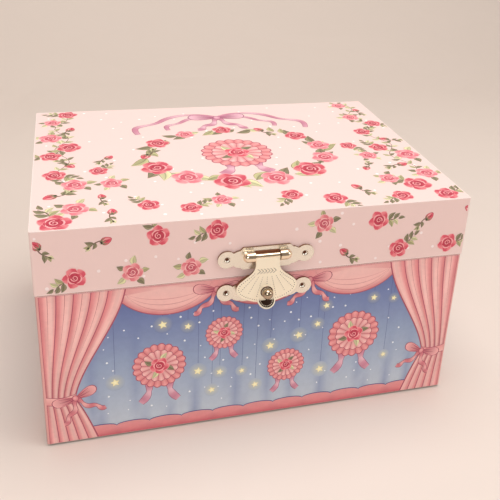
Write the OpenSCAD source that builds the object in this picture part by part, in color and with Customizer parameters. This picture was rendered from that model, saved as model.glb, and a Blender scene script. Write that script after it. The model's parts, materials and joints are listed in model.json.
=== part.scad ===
// Musical jewellery box with a folding dancer: paper-covered board case, hinged lid,
// sprung hasp, and a wind-up comb movement that turns the dancer.
// Frame: +Z up, -Y is the front with the hasp, origin at the middle of the underside.

/* [Case] */
// Width of the lid over its paper
box_w = 200; // [180:1:220]
// Depth of the lid over its paper
box_d = 147; // [142:1:160]
// Height of the closed box
box_h = 111.5; // [108:0.5:125]
// Height of the lid
lid_h = 30.5; // [30:0.5:32]
// Gap between the closed lid and the rim of the body
rim_gap = 0.4; // [0.2:0.1:0.8]
// How far each side of the body stands back from the lid
body_inset = 0.4; // [0.2:0.1:0.8]
// Thickness of the case boards
board_t = 3; // [2.5:0.1:3.5]
// Thickness of the printed covering paper
paper_t = 0.3; // [0.2:0.05:0.4]
// Thickness of the flocked lining
lining_t = 0.4; // [0.3:0.05:0.6]
// Depth of covering paper turned in over each rim
turn_in = 11; // [8:0.5:14]
// Thickness of the felt under the base
felt_t = 0.8; // [0.5:0.1:1.5]
// Margin between the felt and the edge of the body
felt_margin = 3; // [2:0.5:6]
// Radius of the corners of the case
corner_r = 1; // [0.6:0.1:2]

/* [Inside] */
// Drop from the rim of the body to the top of the dividers
divider_drop = 20.6; // [19:0.1:21.6]
// Thickness of the dividers
divider_t = 2; // [1.5:0.1:2.5]
// Thickness of the deck over the movement
deck_t = 2.4; // [2:0.1:3]
// Inside width of the movement bay
bay_w = 66; // [62:1:72]
// Inside depth of the movement bay
bay_d = 41.4; // [41:0.2:44]
// Thickness of the velvet pads on the floor
pad_t = 2; // [1:0.25:3]
// Number of ring rolls
roll_count = 5; // [4:1:5]
// Radius of one ring roll
roll_r = 3.95; // [3.5:0.05:4]
// Drop from the top of the dividers to the shelf that carries the ring rolls
shelf_drop = 14; // [10:0.5:20]
// Radius of the finger dip in the middle divider
dip_r = 20; // [14:1:26]
// Mirror size across the lid
mirror_w = 120; // [100:1:140]
// Mirror size from front to back
mirror_d = 80; // [76:1:90]
// Mirror thickness
mirror_t = 1.8; // [1.5:0.1:2]
// Width of the mirror frame that laps over the glass
frame_lap = 9; // [7:0.5:10]
// Thickness of the frame below the glass
frame_t = 1.2; // [1:0.1:1.4]

/* [Hinges] */
// Distance of each hinge from the middle
hinge_x = 62; // [50:1:72]
// Width of a hinge leaf
leaf_w = 26; // [22:1:30]
// Height of a hinge leaf from the knuckle axis
leaf_h = 13; // [11:0.5:15]
// Thickness of a hinge leaf
leaf_t = 0.8; // [0.6:0.05:0.9]
// Outside radius of the hinge knuckles
knuckle_r = 2; // [1.9:0.05:2.1]
// Radius of the hinge pins
hinge_pin_r = 1; // [0.8:0.05:1.1]

/* [Hasp] */
// Half width of both hasp plates
plate_half = 22.3; // [21:0.1:24]
// Radius of the round ends of the plates
lobe_r = 4.2; // [3.8:0.1:4.4]
// Thickness of the plates
plate_t = 1; // [0.8:0.1:1.2]
// Height of the middle of the lid plate above the lower edge of the lid
lid_plate_up = 9.5; // [9:0.1:10]
// Drop from the lower edge of the lid to the middle of the body plate
catch_drop = 7.8; // [7.4:0.1:8.2]
// Height of the hasp pin above the lower edge of the lid
hasp_up = 10.7; // [10.4:0.1:11]
// Half width of the straight middle of both plates
plate_mid = 10.9; // [10:0.1:12]
// Rise of the plates above their middle
plate_rise = 5.4; // [5:0.1:5.8]
// Fall of the plates below their middle
plate_fall = 5.4; // [5:0.1:5.8]
// Distance of the hasp pin in front of the lid
hasp_out = 2.3; // [2.2:0.05:2.5]
// Radius of the hasp pin
hasp_pin_r = 0.7; // [0.6:0.05:0.8]
// Thickness of the hasp leaf
hasp_t = 0.6; // [0.5:0.05:0.7]
// Radius of the ball knob on the hasp
knob_r = 2.5; // [2.2:0.1:2.8]
// Radius of the thumb tab
tab_r = 4.1; // [3.6:0.1:4.6]
// Lean of the thumb tab from the upright
tab_lean = 45; // [35:1:50]

/* [Movement] */
// Module of the crown wheel and its pinion
crown_module = 0.75; // [0.75:0.01:0.76]
// Teeth on the crown wheel
crown_teeth = 40; // [40:1:40]
// Teeth on the cylinder pinion
pinion_teeth = 20; // [20:1:20]
// Module of the cylinder wheel and the idler pinion
wheel_module = 0.5; // [0.5:0.01:0.51]
// Teeth on the cylinder wheel
wheel_teeth = 40; // [40:1:40]
// Teeth on the idler pinion
idler_teeth = 12; // [12:1:12]
// Teeth on the worm wheel
worm_wheel_teeth = 24; // [24:1:24]
// Pitch of the worm
worm_pitch = 1.6; // [1.58:0.01:1.62]
// Radius of the pinned cylinder
drum_r = 5.5; // [5:0.1:5.6]
// Number of notes on the comb
notes = 18; // [14:1:18]
// Distance between notes
note_pitch = 1.2; // [1.1:0.01:1.22]
// Radius of the spindle that carries the dancer
spindle_r = 1.2; // [1:0.05:1.3]
// Radius of the winding arbor
arbor_r = 1.5; // [1.3:0.05:1.6]
// Width of the winding key over both wings
key_w = 24; // [20:1:28]
// Teeth on the ratchet wheel
ratchet_teeth = 16; // [16:4:16]

/* [Dancer] */
// Height of the dancer from toe to fingertips
dancer_h = 50; // [46:1:50]
// Radius of the tutu
tutu_r = 20; // [16:0.5:20]
// Radius of the bend of the folded spring
bend_r = 14; // [13:0.5:14]
// Radius of the middle of the spring wire from the spring axis
coil_r = 2.6; // [2.4:0.1:2.8]
// Radius of the spring wire
wire_r = 0.4; // [0.3:0.05:0.5]
// Turns of the dancer's spring
coil_turns = 12; // [8:1:12]

/* [Hidden] */
$fn = 48;

// running clearance of a shaft in its bore, on the radius
run_gap = 0.05;
// clearance between parts that must not touch
gap = 0.3;

// case levels and half sizes
lid_z = box_h - lid_h;
rim_z = lid_z - rim_gap;
lid_hw = box_w / 2;
lid_hd = box_d / 2;
body_hw = lid_hw - body_inset;
body_hd = lid_hd - body_inset;
board_hw = body_hw - paper_t;
board_hd = body_hd - paper_t;
cave_hw = board_hw - board_t;
cave_hd = board_hd - board_t;
in_hw = cave_hw - lining_t;
in_hd = cave_hd - lining_t;
floor_z = felt_t + board_t;
lid_board_hw = lid_hw - paper_t;
lid_board_hd = lid_hd - paper_t;
lid_cave_hw = lid_board_hw - board_t;
lid_cave_hd = lid_board_hd - board_t;
lid_top_z = box_h - paper_t - board_t;
ceiling_z = lid_top_z - lining_t;
frame_z = ceiling_z - mirror_t - frame_t;
lid_face_y = -lid_hd;
body_face_y = -body_hd;

// inside layout
divider_top = rim_z - divider_drop;
shelf_top = divider_top - shelf_drop;
bay_front = in_hd - bay_d;
deck_top = divider_top + deck_t;
cross_y0 = bay_front - divider_t;

// hinge axis
hinge_clear = 0.2;
hinge_y = lid_hd + knuckle_r + hinge_clear;
hinge_z = lid_z - rim_gap / 2;
knuckle_x = [-leaf_w / 2, -leaf_w / 6 - 0.1, leaf_w / 6 + 0.1, leaf_w / 2];
screw_r = 0.9;
screw_head_r = 1.8;
screw_head_h = 0.7;
leaf_notch = knuckle_r + 0.4;

// hasp
lid_plate_z = lid_z + lid_plate_up;
catch_plate_z = lid_z - catch_drop;
hasp_z = lid_z + hasp_up;
hasp_y = lid_face_y - hasp_out;
curl_r = hasp_pin_r + run_gap + hasp_t;
hasp_face = hasp_y - curl_r;
neck_half = 5.5;
bead_r = 2.4;
bead_in = neck_half + gap;
bead_out = 8.8;
fan_bottom_z = hasp_z - 23.3;
knob_z = catch_plate_z + 0.7;
rim_back = 1.75;
brad_r = 0.8;
brad_x = 18;

// movement
spindle_y = in_hd - 25.4;
barrel_z = 28;
crown_r = crown_module * crown_teeth / 2;
pinion_r = crown_module * pinion_teeth / 2;
crown_face = 1.6;
crown_pitch_y = spindle_y + pinion_r;
crown_add = 0.6;
crown_ded = 0.85;
disc_y = crown_pitch_y + crown_ded;
disc_t = 1.5;
barrel_r = 13;
barrel_y0 = disc_y + disc_t;
barrel_len = 9;
cap_t = 0.8;
bed_t = 2;
bed_y = barrel_y0 + barrel_len + 0.7;
bed_back = bed_y + bed_t;
pinion_z = barrel_z + crown_r;
drum_len = notes * note_pitch;
drum_z0 = barrel_z - drum_len / 2;
pin_h = 0.45;
wheel_r = wheel_module * wheel_teeth / 2;
idler_pinion_r = wheel_module * idler_teeth / 2;
wheel_t = 1.8;
wheel_z = 8;
idler_angle = 200;
idler_x = (wheel_r + idler_pinion_r) * cos(idler_angle);
idler_y = spindle_y + (wheel_r + idler_pinion_r) * sin(idler_angle);
worm_wheel_r = worm_pitch * worm_wheel_teeth / (2 * PI);
worm_r = 2.4;
worm_add = 0.45;
worm_x = idler_x - worm_wheel_r - worm_r;
worm_z = 18;
worm_wheel_t = 2;
fan_r = 4.6;
fan_y0 = bay_front + 2.6;
fan_len = 3;
wall_x = worm_x - fan_r - 0.6;
wall_t = 1.6;
arm_t = 2;
arm_z = barrel_z + crown_r + crown_face / 2 + 1;
bed_top = arm_z + arm_t + 1.2;
bed_half = 29;
foot_z = floor_z + 0.8;
foot_t = 2;
comb_x0 = 18;
comb_w = 9;
comb_t = 1.1;
comb_tip = drum_r + pin_h + gap;
ratchet_y = bed_back + 0.3;
ratchet_t = 1.1;
ratchet_r = 4.6;
click_pivot = [8.2, 25.2];

// dancer and its spring
socket_z = deck_top + 1;
spring_z = socket_z + 4.6;
fold_z = spring_z + bend_r;
fold_y = spindle_y - bend_r;
cup_len = 4;
toe_y = fold_y - cup_len + 1;
waist_h = 0.46 * dancer_h;
stop_x = worm_x;
stop_y = fan_y0 + fan_len / 2;
stop_r = 0.7;

// ---------- shapes shared by several parts ----------

// flat rectangle of half sizes hw and hd with round corners, drawn from exact arcs
module round_rect(hw, hd, r) {
    square([2 * hw, 2 * (hd - r)], center = true);
    square([2 * (hw - r), 2 * hd], center = true);
    for (sx = [-1, 1], sy = [-1, 1]) translate([sx * (hw - r), sy * (hd - r)]) circle(r);
}

// round-cornered block between two heights
module slab(hw, hd, z0, z1, r = corner_r) {
    translate([0, 0, z0]) linear_extrude(z1 - z0) round_rect(hw, hd, r);
}

// plain block between two corners
module block(a, b) {
    translate(a) cube([b[0] - a[0], b[1] - a[1], b[2] - a[2]]);
}

// cylinder along Y from y0 to y1
module rod_y(x, z, r, y0, y1) {
    translate([x, y1, z]) rotate([90, 0, 0]) cylinder(r = r, h = y1 - y0);
}

// cylinder along X from x0 to x1
module rod_x(y, z, r, x0, x1) {
    translate([x0, y, z]) rotate([0, 90, 0]) cylinder(r = r, h = x1 - x0);
}

// cylinder along Z from z0 to z1
module rod_z(x, y, r, z0, z1) {
    translate([x, y, z0]) cylinder(r = r, h = z1 - z0);
}

// shape drawn in X and Z, made solid from y0 to y1
module plate_y(y0, y1) {
    translate([0, y1, 0]) rotate([90, 0, 0]) linear_extrude(y1 - y0) children();
}

// point on a cubic curve with control points p
function bezier(p, t) = pow(1 - t, 3) * p[0] + 3 * t * pow(1 - t, 2) * p[1]
    + 3 * t * t * (1 - t) * p[2] + pow(t, 3) * p[3];

// involute wheel outline: radius and angle of a point at share u up the flank
function flank(rb, ra, u) = let (r = rb + (ra - rb) * u, k = sqrt(max(0, r * r / (rb * rb) - 1)))
    [r, k * 180 / PI - atan(k)];

// spur wheel in the plane, teeth n, module m, flanks thinned by slack at the pitch circle
module gear_2d(n, m, slack, add = 0.9, ded = 1.2) {
    rp = n * m / 2;
    rb = rp * cos(20);
    ra = rp + add * m;
    rr = rp - ded * m;
    steps = 4;
    half = 90 / n - slack / rp * 90 / PI + (tan(20) * 180 / PI - 20);
    side = [for (i = [0:steps]) flank(rb, ra, i / steps)];
    foot = min(rr, rb - 0.02);
    tooth = concat([[foot, -half]], [for (s = side) [s[0], s[1] - half]],
        [for (i = [steps:-1:0]) [side[i][0], half - side[i][1]]], [[foot, half]]);
    polygon([for (k = [0:n - 1]) for (t = tooth)
        let (a = t[1] + 360 * k / n) [t[0] * cos(a), t[0] * sin(a)]]);
}

// ring-shaped board walls
module walls(hw, hd, t, z0, z1, r = corner_r) {
    difference() {
        slab(hw, hd, z0, z1, r);
        block([-hw + t, -hd + t, z0 - 1], [hw - t, hd - t, z1 + 1]);
    }
}

// ---------- case of the body ----------

// places of the hinge screws: both hinges, two screws each
module at_hinge_screws(z) {
    for (h = [-1, 1], s = [-1, 1]) translate([h * hinge_x + s * leaf_w * 0.32, 0, z]) children();
}
body_screw_z = hinge_z - leaf_h * 0.64;
lid_screw_z = hinge_z + leaf_h * 0.64;

module front_board() color("peru") difference() {
    intersection() {
        slab(board_hw, board_hd, felt_t, rim_z - paper_t);
        block([-board_hw, -board_hd, 0], [board_hw, -cave_hd, box_h]);
    }
    for (s = [-1, 1]) rod_y(s * brad_x, catch_plate_z, brad_r, -board_hd - 1, -cave_hd - 0.5);
}

module back_board() color("peru") difference() {
    intersection() {
        slab(board_hw, board_hd, felt_t, rim_z - paper_t);
        block([-board_hw, cave_hd, 0], [board_hw, board_hd, box_h]);
    }
    rod_y(0, barrel_z, key_hole_r, cave_hd - 1, board_hd + 1);
    at_hinge_screws(body_screw_z) rod_y(0, 0, screw_r, cave_hd + 0.4, board_hd + 1);
    at_bed_feet() rod_y(0, 0, screw_r, cave_hd - 1, cave_hd + 2);
}
key_hole_r = 4;

module side_boards() color("peru")
    for (s = [-1, 1]) block([s > 0 ? cave_hw : -board_hw, -cave_hd, felt_t],
        [s > 0 ? board_hw : -cave_hw, cave_hd, rim_z - paper_t]);

module base_board() color("peru") block([-cave_hw, -cave_hd, felt_t], [cave_hw, cave_hd, floor_z]);

// paper round the outside, over the rim and a little way down inside
module body_wrap() color("pink") difference() {
    slab(body_hw, body_hd, felt_t + 0.2, rim_z, corner_r + paper_t);
    walls(board_hw, board_hd, board_t, -1, rim_z - paper_t);
    block([-cave_hw + paper_t, -cave_hd + paper_t, -1], [cave_hw - paper_t, cave_hd - paper_t, box_h]);
    block([-cave_hw, -cave_hd, -1], [cave_hw, cave_hd, rim_z - turn_in]);
    rod_y(0, barrel_z, key_hole_r, cave_hd, body_hd + 1);
    for (s = [-1, 1]) rod_y(s * brad_x, catch_plate_z, brad_r, -body_hd - 1, -board_hd + 0.1);
    at_hinge_screws(body_screw_z) rod_y(0, 0, screw_r, board_hd - 0.1, body_hd + 1);
}

module base_felt() color("rosybrown")
    slab(body_hw - felt_margin, body_hd - felt_margin, 0, felt_t, 4);

module body_lining() color("palevioletred") difference() {
    walls(cave_hw, cave_hd, lining_t, floor_z, rim_z - turn_in, 0.01);
    rod_y(0, barrel_z, key_hole_r, in_hd - 1, cave_hd + 1);
    at_bed_feet() rod_y(0, 0, foot_boss_r, in_hd - 1, cave_hd + 1);
}

// ---------- inside of the body ----------

module floor_pads() color("palevioletred") {
    for (s = [-1, 1]) translate([s * (in_hw + divider_t / 2) / 2, (cross_y0 - in_hd) / 2, 0])
        slab((in_hw - divider_t / 2) / 2 - gap, (cross_y0 + in_hd) / 2 - gap, floor_z, floor_z + pad_t, 1.5);
    translate([-(in_hw + bay_w / 2 + divider_t) / 2, (in_hd + bay_front) / 2, 0])
        slab((in_hw - bay_w / 2 - divider_t) / 2 - gap, bay_d / 2 - gap, floor_z, floor_z + pad_t, 1.5);
}

module cross_divider() color("hotpink")
    block([-in_hw, cross_y0, floor_z], [in_hw, bay_front, divider_top]);

module bay_dividers() color("hotpink") for (s = [-1, 1]) {
    x = s * (bay_w / 2 + divider_t / 2);
    block([x - divider_t / 2, bay_front, floor_z], [x + divider_t / 2, in_hd, divider_top]);
}

// front wall between the two large compartments, with a finger dip in its top edge
module centre_divider() color("hotpink") difference() {
    block([-divider_t / 2, -in_hd, floor_z], [divider_t / 2, cross_y0, divider_top]);
    rod_x((cross_y0 - in_hd) / 2, divider_top + 0.4 * dip_r, dip_r, -divider_t, divider_t);
}

module deck() color("hotpink") difference() {
    block([-bay_w / 2 - divider_t, cross_y0, divider_top], [bay_w / 2 + divider_t, in_hd, deck_top]);
    rod_z(0, spindle_y, bush_r, divider_top - 1, deck_top + 1);
    rod_z(stop_x, stop_y, stop_r + gap, divider_top - 1, deck_top + 1);
}
bush_r = 2.6;

// flanged bush that steadies the spindle where it leaves the deck
module deck_bush() color("ivory") difference() {
    union() {
        rod_z(0, spindle_y, bush_r, divider_top - 0.6, deck_top + 0.5);
        rod_z(0, spindle_y, bush_r + 1.4, deck_top, deck_top + 0.6);
    }
    rod_z(0, spindle_y, spindle_r + run_gap, divider_top - 2, deck_top + 2);
}

shelf_x0 = bay_w / 2 + divider_t;
// shelf on two legs under the ring rolls
module ring_shelf() color("hotpink") {
    block([shelf_x0, bay_front, shelf_top - 2], [in_hw, in_hd, shelf_top]);
    for (y = [bay_front, in_hd - 2]) block([shelf_x0, y, floor_z], [in_hw, y + 2, shelf_top - 2]);
}

roll_step = (bay_d - 2 * roll_r - 0.4) / (roll_count - 1);
module ring_rolls() color("lightpink") for (i = [0:roll_count - 1])
    rod_x(bay_front + 0.2 + roll_r + i * roll_step, shelf_top + roll_r, roll_r, shelf_x0 + gap, in_hw - gap);

// ---------- hinges ----------

// knuckle rings between x0 and x1 with the web that joins them to their leaf on the side up
module knuckle(x0, x1, up, bore) {
    difference() {
        union() {
            rod_x(hinge_y, hinge_z, knuckle_r, x0, x1);
            block([x0, up > 0 ? lid_hd : body_hd, up > 0 ? hinge_z + 0.3 : hinge_z - leaf_notch],
                [x1, (up > 0 ? lid_hd : body_hd) + leaf_t, up > 0 ? hinge_z + leaf_notch : hinge_z - 0.3]);
            block([x0, up > 0 ? lid_hd : body_hd, up > 0 ? hinge_z + 0.9 : hinge_z - knuckle_r],
                [x1, hinge_y - 0.6, up > 0 ? hinge_z + knuckle_r : hinge_z - 0.9]);
        }
        rod_x(hinge_y, hinge_z, bore, x0 - 1, x1 + 1);
    }
}

// flat part of one leaf, z0 to z1 away from the axis, with two screw holes
module leaf_flat(up) {
    y0 = up > 0 ? lid_hd : body_hd;
    z_mid = hinge_z + up * (leaf_notch + leaf_h) / 2;
    difference() {
        translate([0, 0, z_mid]) plate_y(y0, y0 + leaf_t) round_rect(leaf_w / 2, (leaf_h - leaf_notch) / 2, 1.2);
        for (s = [-1, 1]) rod_y(s * leaf_w * 0.32, hinge_z + up * leaf_h * 0.64, screw_r, y0 - 1, y0 + leaf_t + 1);
    }
}

module hinge_leaves_body() color("goldenrod") for (h = [-1, 1]) translate([h * hinge_x, 0, 0]) {
    leaf_flat(-1);
    knuckle(knuckle_x[0], knuckle_x[1] - 0.1, -1, hinge_pin_r);
    knuckle(knuckle_x[2] + 0.1, knuckle_x[3], -1, hinge_pin_r);
}

module hinge_leaves_lid() color("goldenrod") for (h = [-1, 1]) translate([h * hinge_x, 0, 0]) {
    leaf_flat(1);
    knuckle(knuckle_x[1] + 0.1, knuckle_x[2] - 0.1, 1, hinge_pin_r + run_gap);
}

module hinge_pins() color("darkgoldenrod") for (h = [-1, 1]) {
    rod_x(hinge_y, hinge_z, hinge_pin_r, h * hinge_x - leaf_w / 2, h * hinge_x + leaf_w / 2);
    for (e = [-1, 1]) translate([h * hinge_x + e * (leaf_w / 2 + 0.3), hinge_y, hinge_z])
        rotate([0, 90, 0]) cylinder(r = hinge_pin_r + 0.4, h = 0.6, center = true);
}

// round-headed screw along -Y, head seated at y, into the case by len
module screw_in(y, len) {
    rod_y(0, 0, screw_r, y - len, y);
    intersection() {
        translate([0, y - 1.9, 0]) sphere(r = 2.6);
        rod_y(0, 0, screw_head_r, y, y + screw_head_h + 0.2);
    }
}

module hinge_screws_body() color("gold") at_hinge_screws(body_screw_z)
    screw_in(body_hd + leaf_t, board_t + leaf_t - 0.1);
module hinge_screws_lid() color("gold") at_hinge_screws(lid_screw_z)
    screw_in(lid_hd + leaf_t, board_t + leaf_t - 0.1);

// ---------- hasp ----------

// outline of a plate: round ends, scalloped shoulders and a straight middle
module plate_2d(z, mid_half, top, bottom) {
    for (s = [-1, 1]) {
        translate([s * (plate_half - lobe_r), z]) circle(lobe_r);
        translate([s * (plate_half - 2.1 * lobe_r), z - 0.2]) circle(lobe_r * 0.86);
        translate([s * (mid_half + 1.2), z - 0.3]) circle(lobe_r * 1.02);
    }
    polygon([[-mid_half - 2, z + 0.62 * top], [-mid_half, z + top], [mid_half, z + top],
        [mid_half + 2, z + 0.62 * top], [mid_half + 2, z - 0.62 * bottom], [mid_half, z - bottom],
        [-mid_half, z - bottom], [-mid_half - 2, z - 0.62 * bottom]]);
}

// hinge bead: round barrel with bullet ends, cut away in the middle for the leaf
bead_profile = concat([[0, bead_in], [bead_r, bead_in], [bead_r, bead_out]],
    [for (i = [1:6]) [bead_r * cos(i * 15), bead_out + 2.4 * sin(i * 15)]]);
module lid_plate() color("wheat") difference() {
    union() {
        plate_y(lid_face_y - plate_t, lid_face_y) plate_2d(lid_plate_z, plate_mid, plate_rise, plate_fall + 0.2);
        intersection() {
            for (s = [-1, 1]) translate([0, hasp_y, hasp_z]) rotate([0, s * 90, 0])
                rotate_extrude() polygon(bead_profile);
            block([-plate_half, -box_d, 0], [plate_half, lid_face_y - plate_t / 2, box_h]);
        }
    }
    block([-bead_in, lid_face_y - plate_t - 1, hasp_z - curl_r - 0.6],
        [bead_in, lid_face_y + 1, hasp_z + curl_r + 1]);
    rod_x(hasp_y, hasp_z, hasp_pin_r, -bead_out, bead_out);
    for (s = [-1, 1]) rod_y(s * brad_x, lid_plate_z, brad_r, -box_d, lid_face_y + 1);
    for (s = [-1, 1]) translate([s * brad_x, lid_face_y - plate_t - 0.9, lid_plate_z]) sphere(r = 1.7);
}

module hasp_pin() color("sienna")
    rod_x(hasp_y, hasp_z, hasp_pin_r, -bead_out, bead_out);

module catch_plate() color("wheat") difference() {
    union() {
        plate_y(body_face_y - plate_t, body_face_y) plate_2d(catch_plate_z, plate_mid, plate_rise, plate_fall - 0.2);
        // raised seat round the post
        rod_y(0, knob_z, 2.4, body_face_y - plate_t - 0.2, body_face_y);
    }
    rod_y(0, knob_z, post_r, -box_d, body_face_y + 1);
    for (s = [-1, 1]) rod_y(s * brad_x, catch_plate_z, brad_r, -box_d, body_face_y + 1);
    for (s = [-1, 1]) translate([s * brad_x, body_face_y - plate_t - 0.9, catch_plate_z]) sphere(r = 1.7);
}
post_r = 1.1;
post_head = 1.7;
post_top = hasp_face + hasp_t + 0.45;

// headed post on the body plate that the snap clip grips
module catch_post() color("tan") {
    rod_y(0, knob_z, post_r, post_top + 0.6, body_face_y);
    rod_y(0, knob_z, post_head, post_top, post_top + 0.6);
}

// small brads sunk in the dimples of a plate
module brads(face_y, z) for (s = [-1, 1]) {
    rod_y(s * brad_x, z, brad_r, face_y - plate_t + 0.75, face_y + board_t * 0.8);
}
module catch_brads() color("gray") brads(body_face_y, catch_plate_z);
module lid_plate_brads() color("gray") brads(lid_face_y, lid_plate_z);

// right half of the fan outline, drawn in from its edge by m
fan_steps = 7;
fan_side = [[neck_half, hasp_z - 3.7], [neck_half + 0.2, hasp_z - 7.9], [9.2, hasp_z - 9.1], [12.6, hasp_z - 12.1]];
fan_lobe_curve = [[12.6, hasp_z - 12.1], [14.6, hasp_z - 13.9], [14.6, hasp_z - 16.9], [12.7, hasp_z - 18.8]];
fan_base = [[12.7, hasp_z - 18.8], [9.4, fan_bottom_z + 1.5], [4.6, fan_bottom_z], [0, fan_bottom_z]];
fan_right = concat([for (i = [0:fan_steps]) bezier(fan_side, i / fan_steps)],
    [for (i = [1:fan_steps]) bezier(fan_lobe_curve, i / fan_steps)],
    [for (i = [1:fan_steps]) bezier(fan_base, i / fan_steps)]);
function inset(pts, m) = [for (i = [0:len(pts) - 1])
    let (a = pts[max(i - 1, 0)], b = pts[min(i + 1, len(pts) - 1)], d = b - a, l = norm(d))
    pts[i] + m * [d[1], -d[0]] / l];
module fan_2d(m = 0) {
    side = m == 0 ? fan_right : inset(fan_right, m);
    top = [[side[0][0], hasp_z - 0.2]];
    right = concat(top, side);
    n = len(right);
    polygon(concat(right, [for (i = [n - 2:-1:0]) [-right[i][0], right[i][1]]]));
}

module hasp_leaf() color("wheat") difference() {
    union() {
        plate_y(hasp_face, hasp_face + hasp_t) fan_2d();
        // turned-back edge along the fan
        difference() {
            plate_y(hasp_face, hasp_face + rim_back) fan_2d();
            plate_y(hasp_face + hasp_t / 2, hasp_face + rim_back + 1) fan_2d(0.6);
            block([-plate_half, hasp_face + hasp_t, hasp_z - 9.2], [plate_half, hasp_face + 5, box_h]);
            block([-neck_half, hasp_face + hasp_t, 0], [neck_half, hasp_face + 5, fan_bottom_z + 2.6]);
        }
        rod_x(hasp_y, hasp_z, curl_r, -neck_half, neck_half);
        // raised seat round the knob
        rod_y(0, knob_z, knob_r + 0.9, hasp_face - 0.3, hasp_face);
        thumb_tab();
    }
    rod_x(hasp_y, hasp_z, hasp_pin_r + run_gap, -neck_half - 1, neck_half + 1);
    rod_y(0, knob_z, post_r, hasp_face - 1, hasp_face + 1);
}

// round tab that leans out below the fan, dished on its face
module thumb_tab() translate([0, hasp_face + hasp_t / 2, fan_bottom_z + 1.2])
    rotate([90 - tab_lean, 0, 0]) difference() {
        translate([0, -0.4, -hasp_t / 2]) cylinder(r = tab_r, h = hasp_t + 0.5);
        translate([0, -0.4, hasp_t / 2]) cylinder(r = tab_r - 0.55, h = 3);
        rotate([tab_lean - 90, 0, 0]) block([-20, hasp_t / 2, -20], [20, 20, 20]);
    }

// ball knob riveted through the leaf
module hasp_knob() color("khaki") {
    translate([0, hasp_face - 0.3 - knob_r * 0.72, knob_z]) intersection() {
        sphere(r = knob_r);
        block([-9, -9, -9], [9, knob_r * 0.72, 9]);
    }
    rod_y(0, knob_z, post_r, hasp_face - 0.3, hasp_face + hasp_t);
}

// flat spring riveted behind the leaf, with two prongs that close on the post behind its head
prong_y = post_top + 0.7;
prong_x = post_r + gap;
module snap_clip() color("silver") {
    block([-2.4, hasp_face + hasp_t, knob_z + 3.4], [2.4, hasp_face + hasp_t + 0.4, knob_z + 6.4]);
    block([-2.4, hasp_face + hasp_t, knob_z + 3.4], [2.4, prong_y + 0.4, knob_z + 3.9]);
    for (s = [-1, 1]) block([s > 0 ? prong_x : -prong_x - 0.6, prong_y, knob_z - 1.6],
        [s > 0 ? prong_x + 0.6 : -prong_x, prong_y + 0.4, knob_z + 3.9]);
}

// ---------- lid ----------

module lid_top_board() color("peru") slab(lid_board_hw, lid_board_hd, lid_top_z, box_h - paper_t);

// four walls of the lid, front and back over the ends of the sides
module lid_wall_boards() color("peru") difference() {
    union() {
        for (s = [-1, 1]) {
            intersection() {
                slab(lid_board_hw, lid_board_hd, lid_z + paper_t, lid_top_z);
                block([-box_w, s > 0 ? lid_cave_hd : -box_d, 0], [box_w, s > 0 ? box_d : -lid_cave_hd, box_h]);
            }
            block([s > 0 ? lid_cave_hw : -lid_board_hw, -lid_cave_hd + 0.001, lid_z + paper_t],
                [s > 0 ? lid_board_hw : -lid_cave_hw, lid_cave_hd - 0.001, lid_top_z]);
        }
    }
    for (s = [-1, 1]) rod_y(s * brad_x, lid_plate_z, brad_r, -box_d, -lid_cave_hd - 0.5);
    at_hinge_screws(lid_screw_z) rod_y(0, 0, screw_r, lid_cave_hd + 0.2, box_d);
}

module lid_wrap() color("pink") difference() {
    slab(lid_hw, lid_hd, lid_z, box_h, corner_r + paper_t);
    slab(lid_board_hw, lid_board_hd, lid_top_z - 1, box_h - paper_t);
    walls(lid_board_hw, lid_board_hd, board_t, lid_z + paper_t, lid_top_z);
    block([-lid_cave_hw + paper_t, -lid_cave_hd + paper_t, 0],
        [lid_cave_hw - paper_t, lid_cave_hd - paper_t, lid_top_z]);
    block([-lid_cave_hw, -lid_cave_hd, lid_z + turn_in], [lid_cave_hw, lid_cave_hd, lid_top_z]);
    for (s = [-1, 1]) rod_y(s * brad_x, lid_plate_z, brad_r, -box_d, -lid_board_hd + 0.1);
    at_hinge_screws(lid_screw_z) rod_y(0, 0, screw_r, lid_board_hd - 0.1, box_d);
}

module lid_lining() color("palevioletred") {
    walls(lid_cave_hw, lid_cave_hd, lining_t, lid_z + turn_in, ceiling_z, 0.01);
    block([-lid_cave_hw, -lid_cave_hd, ceiling_z], [lid_cave_hw, lid_cave_hd, lid_top_z]);
}

module mirror() color("lightcyan")
    block([-mirror_w / 2, -mirror_d / 2, ceiling_z - mirror_t], [mirror_w / 2, mirror_d / 2, ceiling_z]);

// padded frame that laps over the edge of the mirror
module mirror_frame() color("hotpink") difference() {
    slab(mirror_w / 2 + 5, mirror_d / 2 + 5, frame_z, ceiling_z, 6);
    block([-mirror_w / 2, -mirror_d / 2, frame_z + frame_t], [mirror_w / 2, mirror_d / 2, box_h]);
    slab(mirror_w / 2 - frame_lap, mirror_d / 2 - frame_lap, 0, box_h, 4);
}

// ---------- musical movement ----------

foot_boss_r = 3;
bed_feet = [[-24, 12], [24, 12], [24, bed_top - 5], [-24, bed_top - 5]];
module at_bed_feet() for (p = bed_feet) translate([p[0], 0, p[1]]) children();

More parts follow.
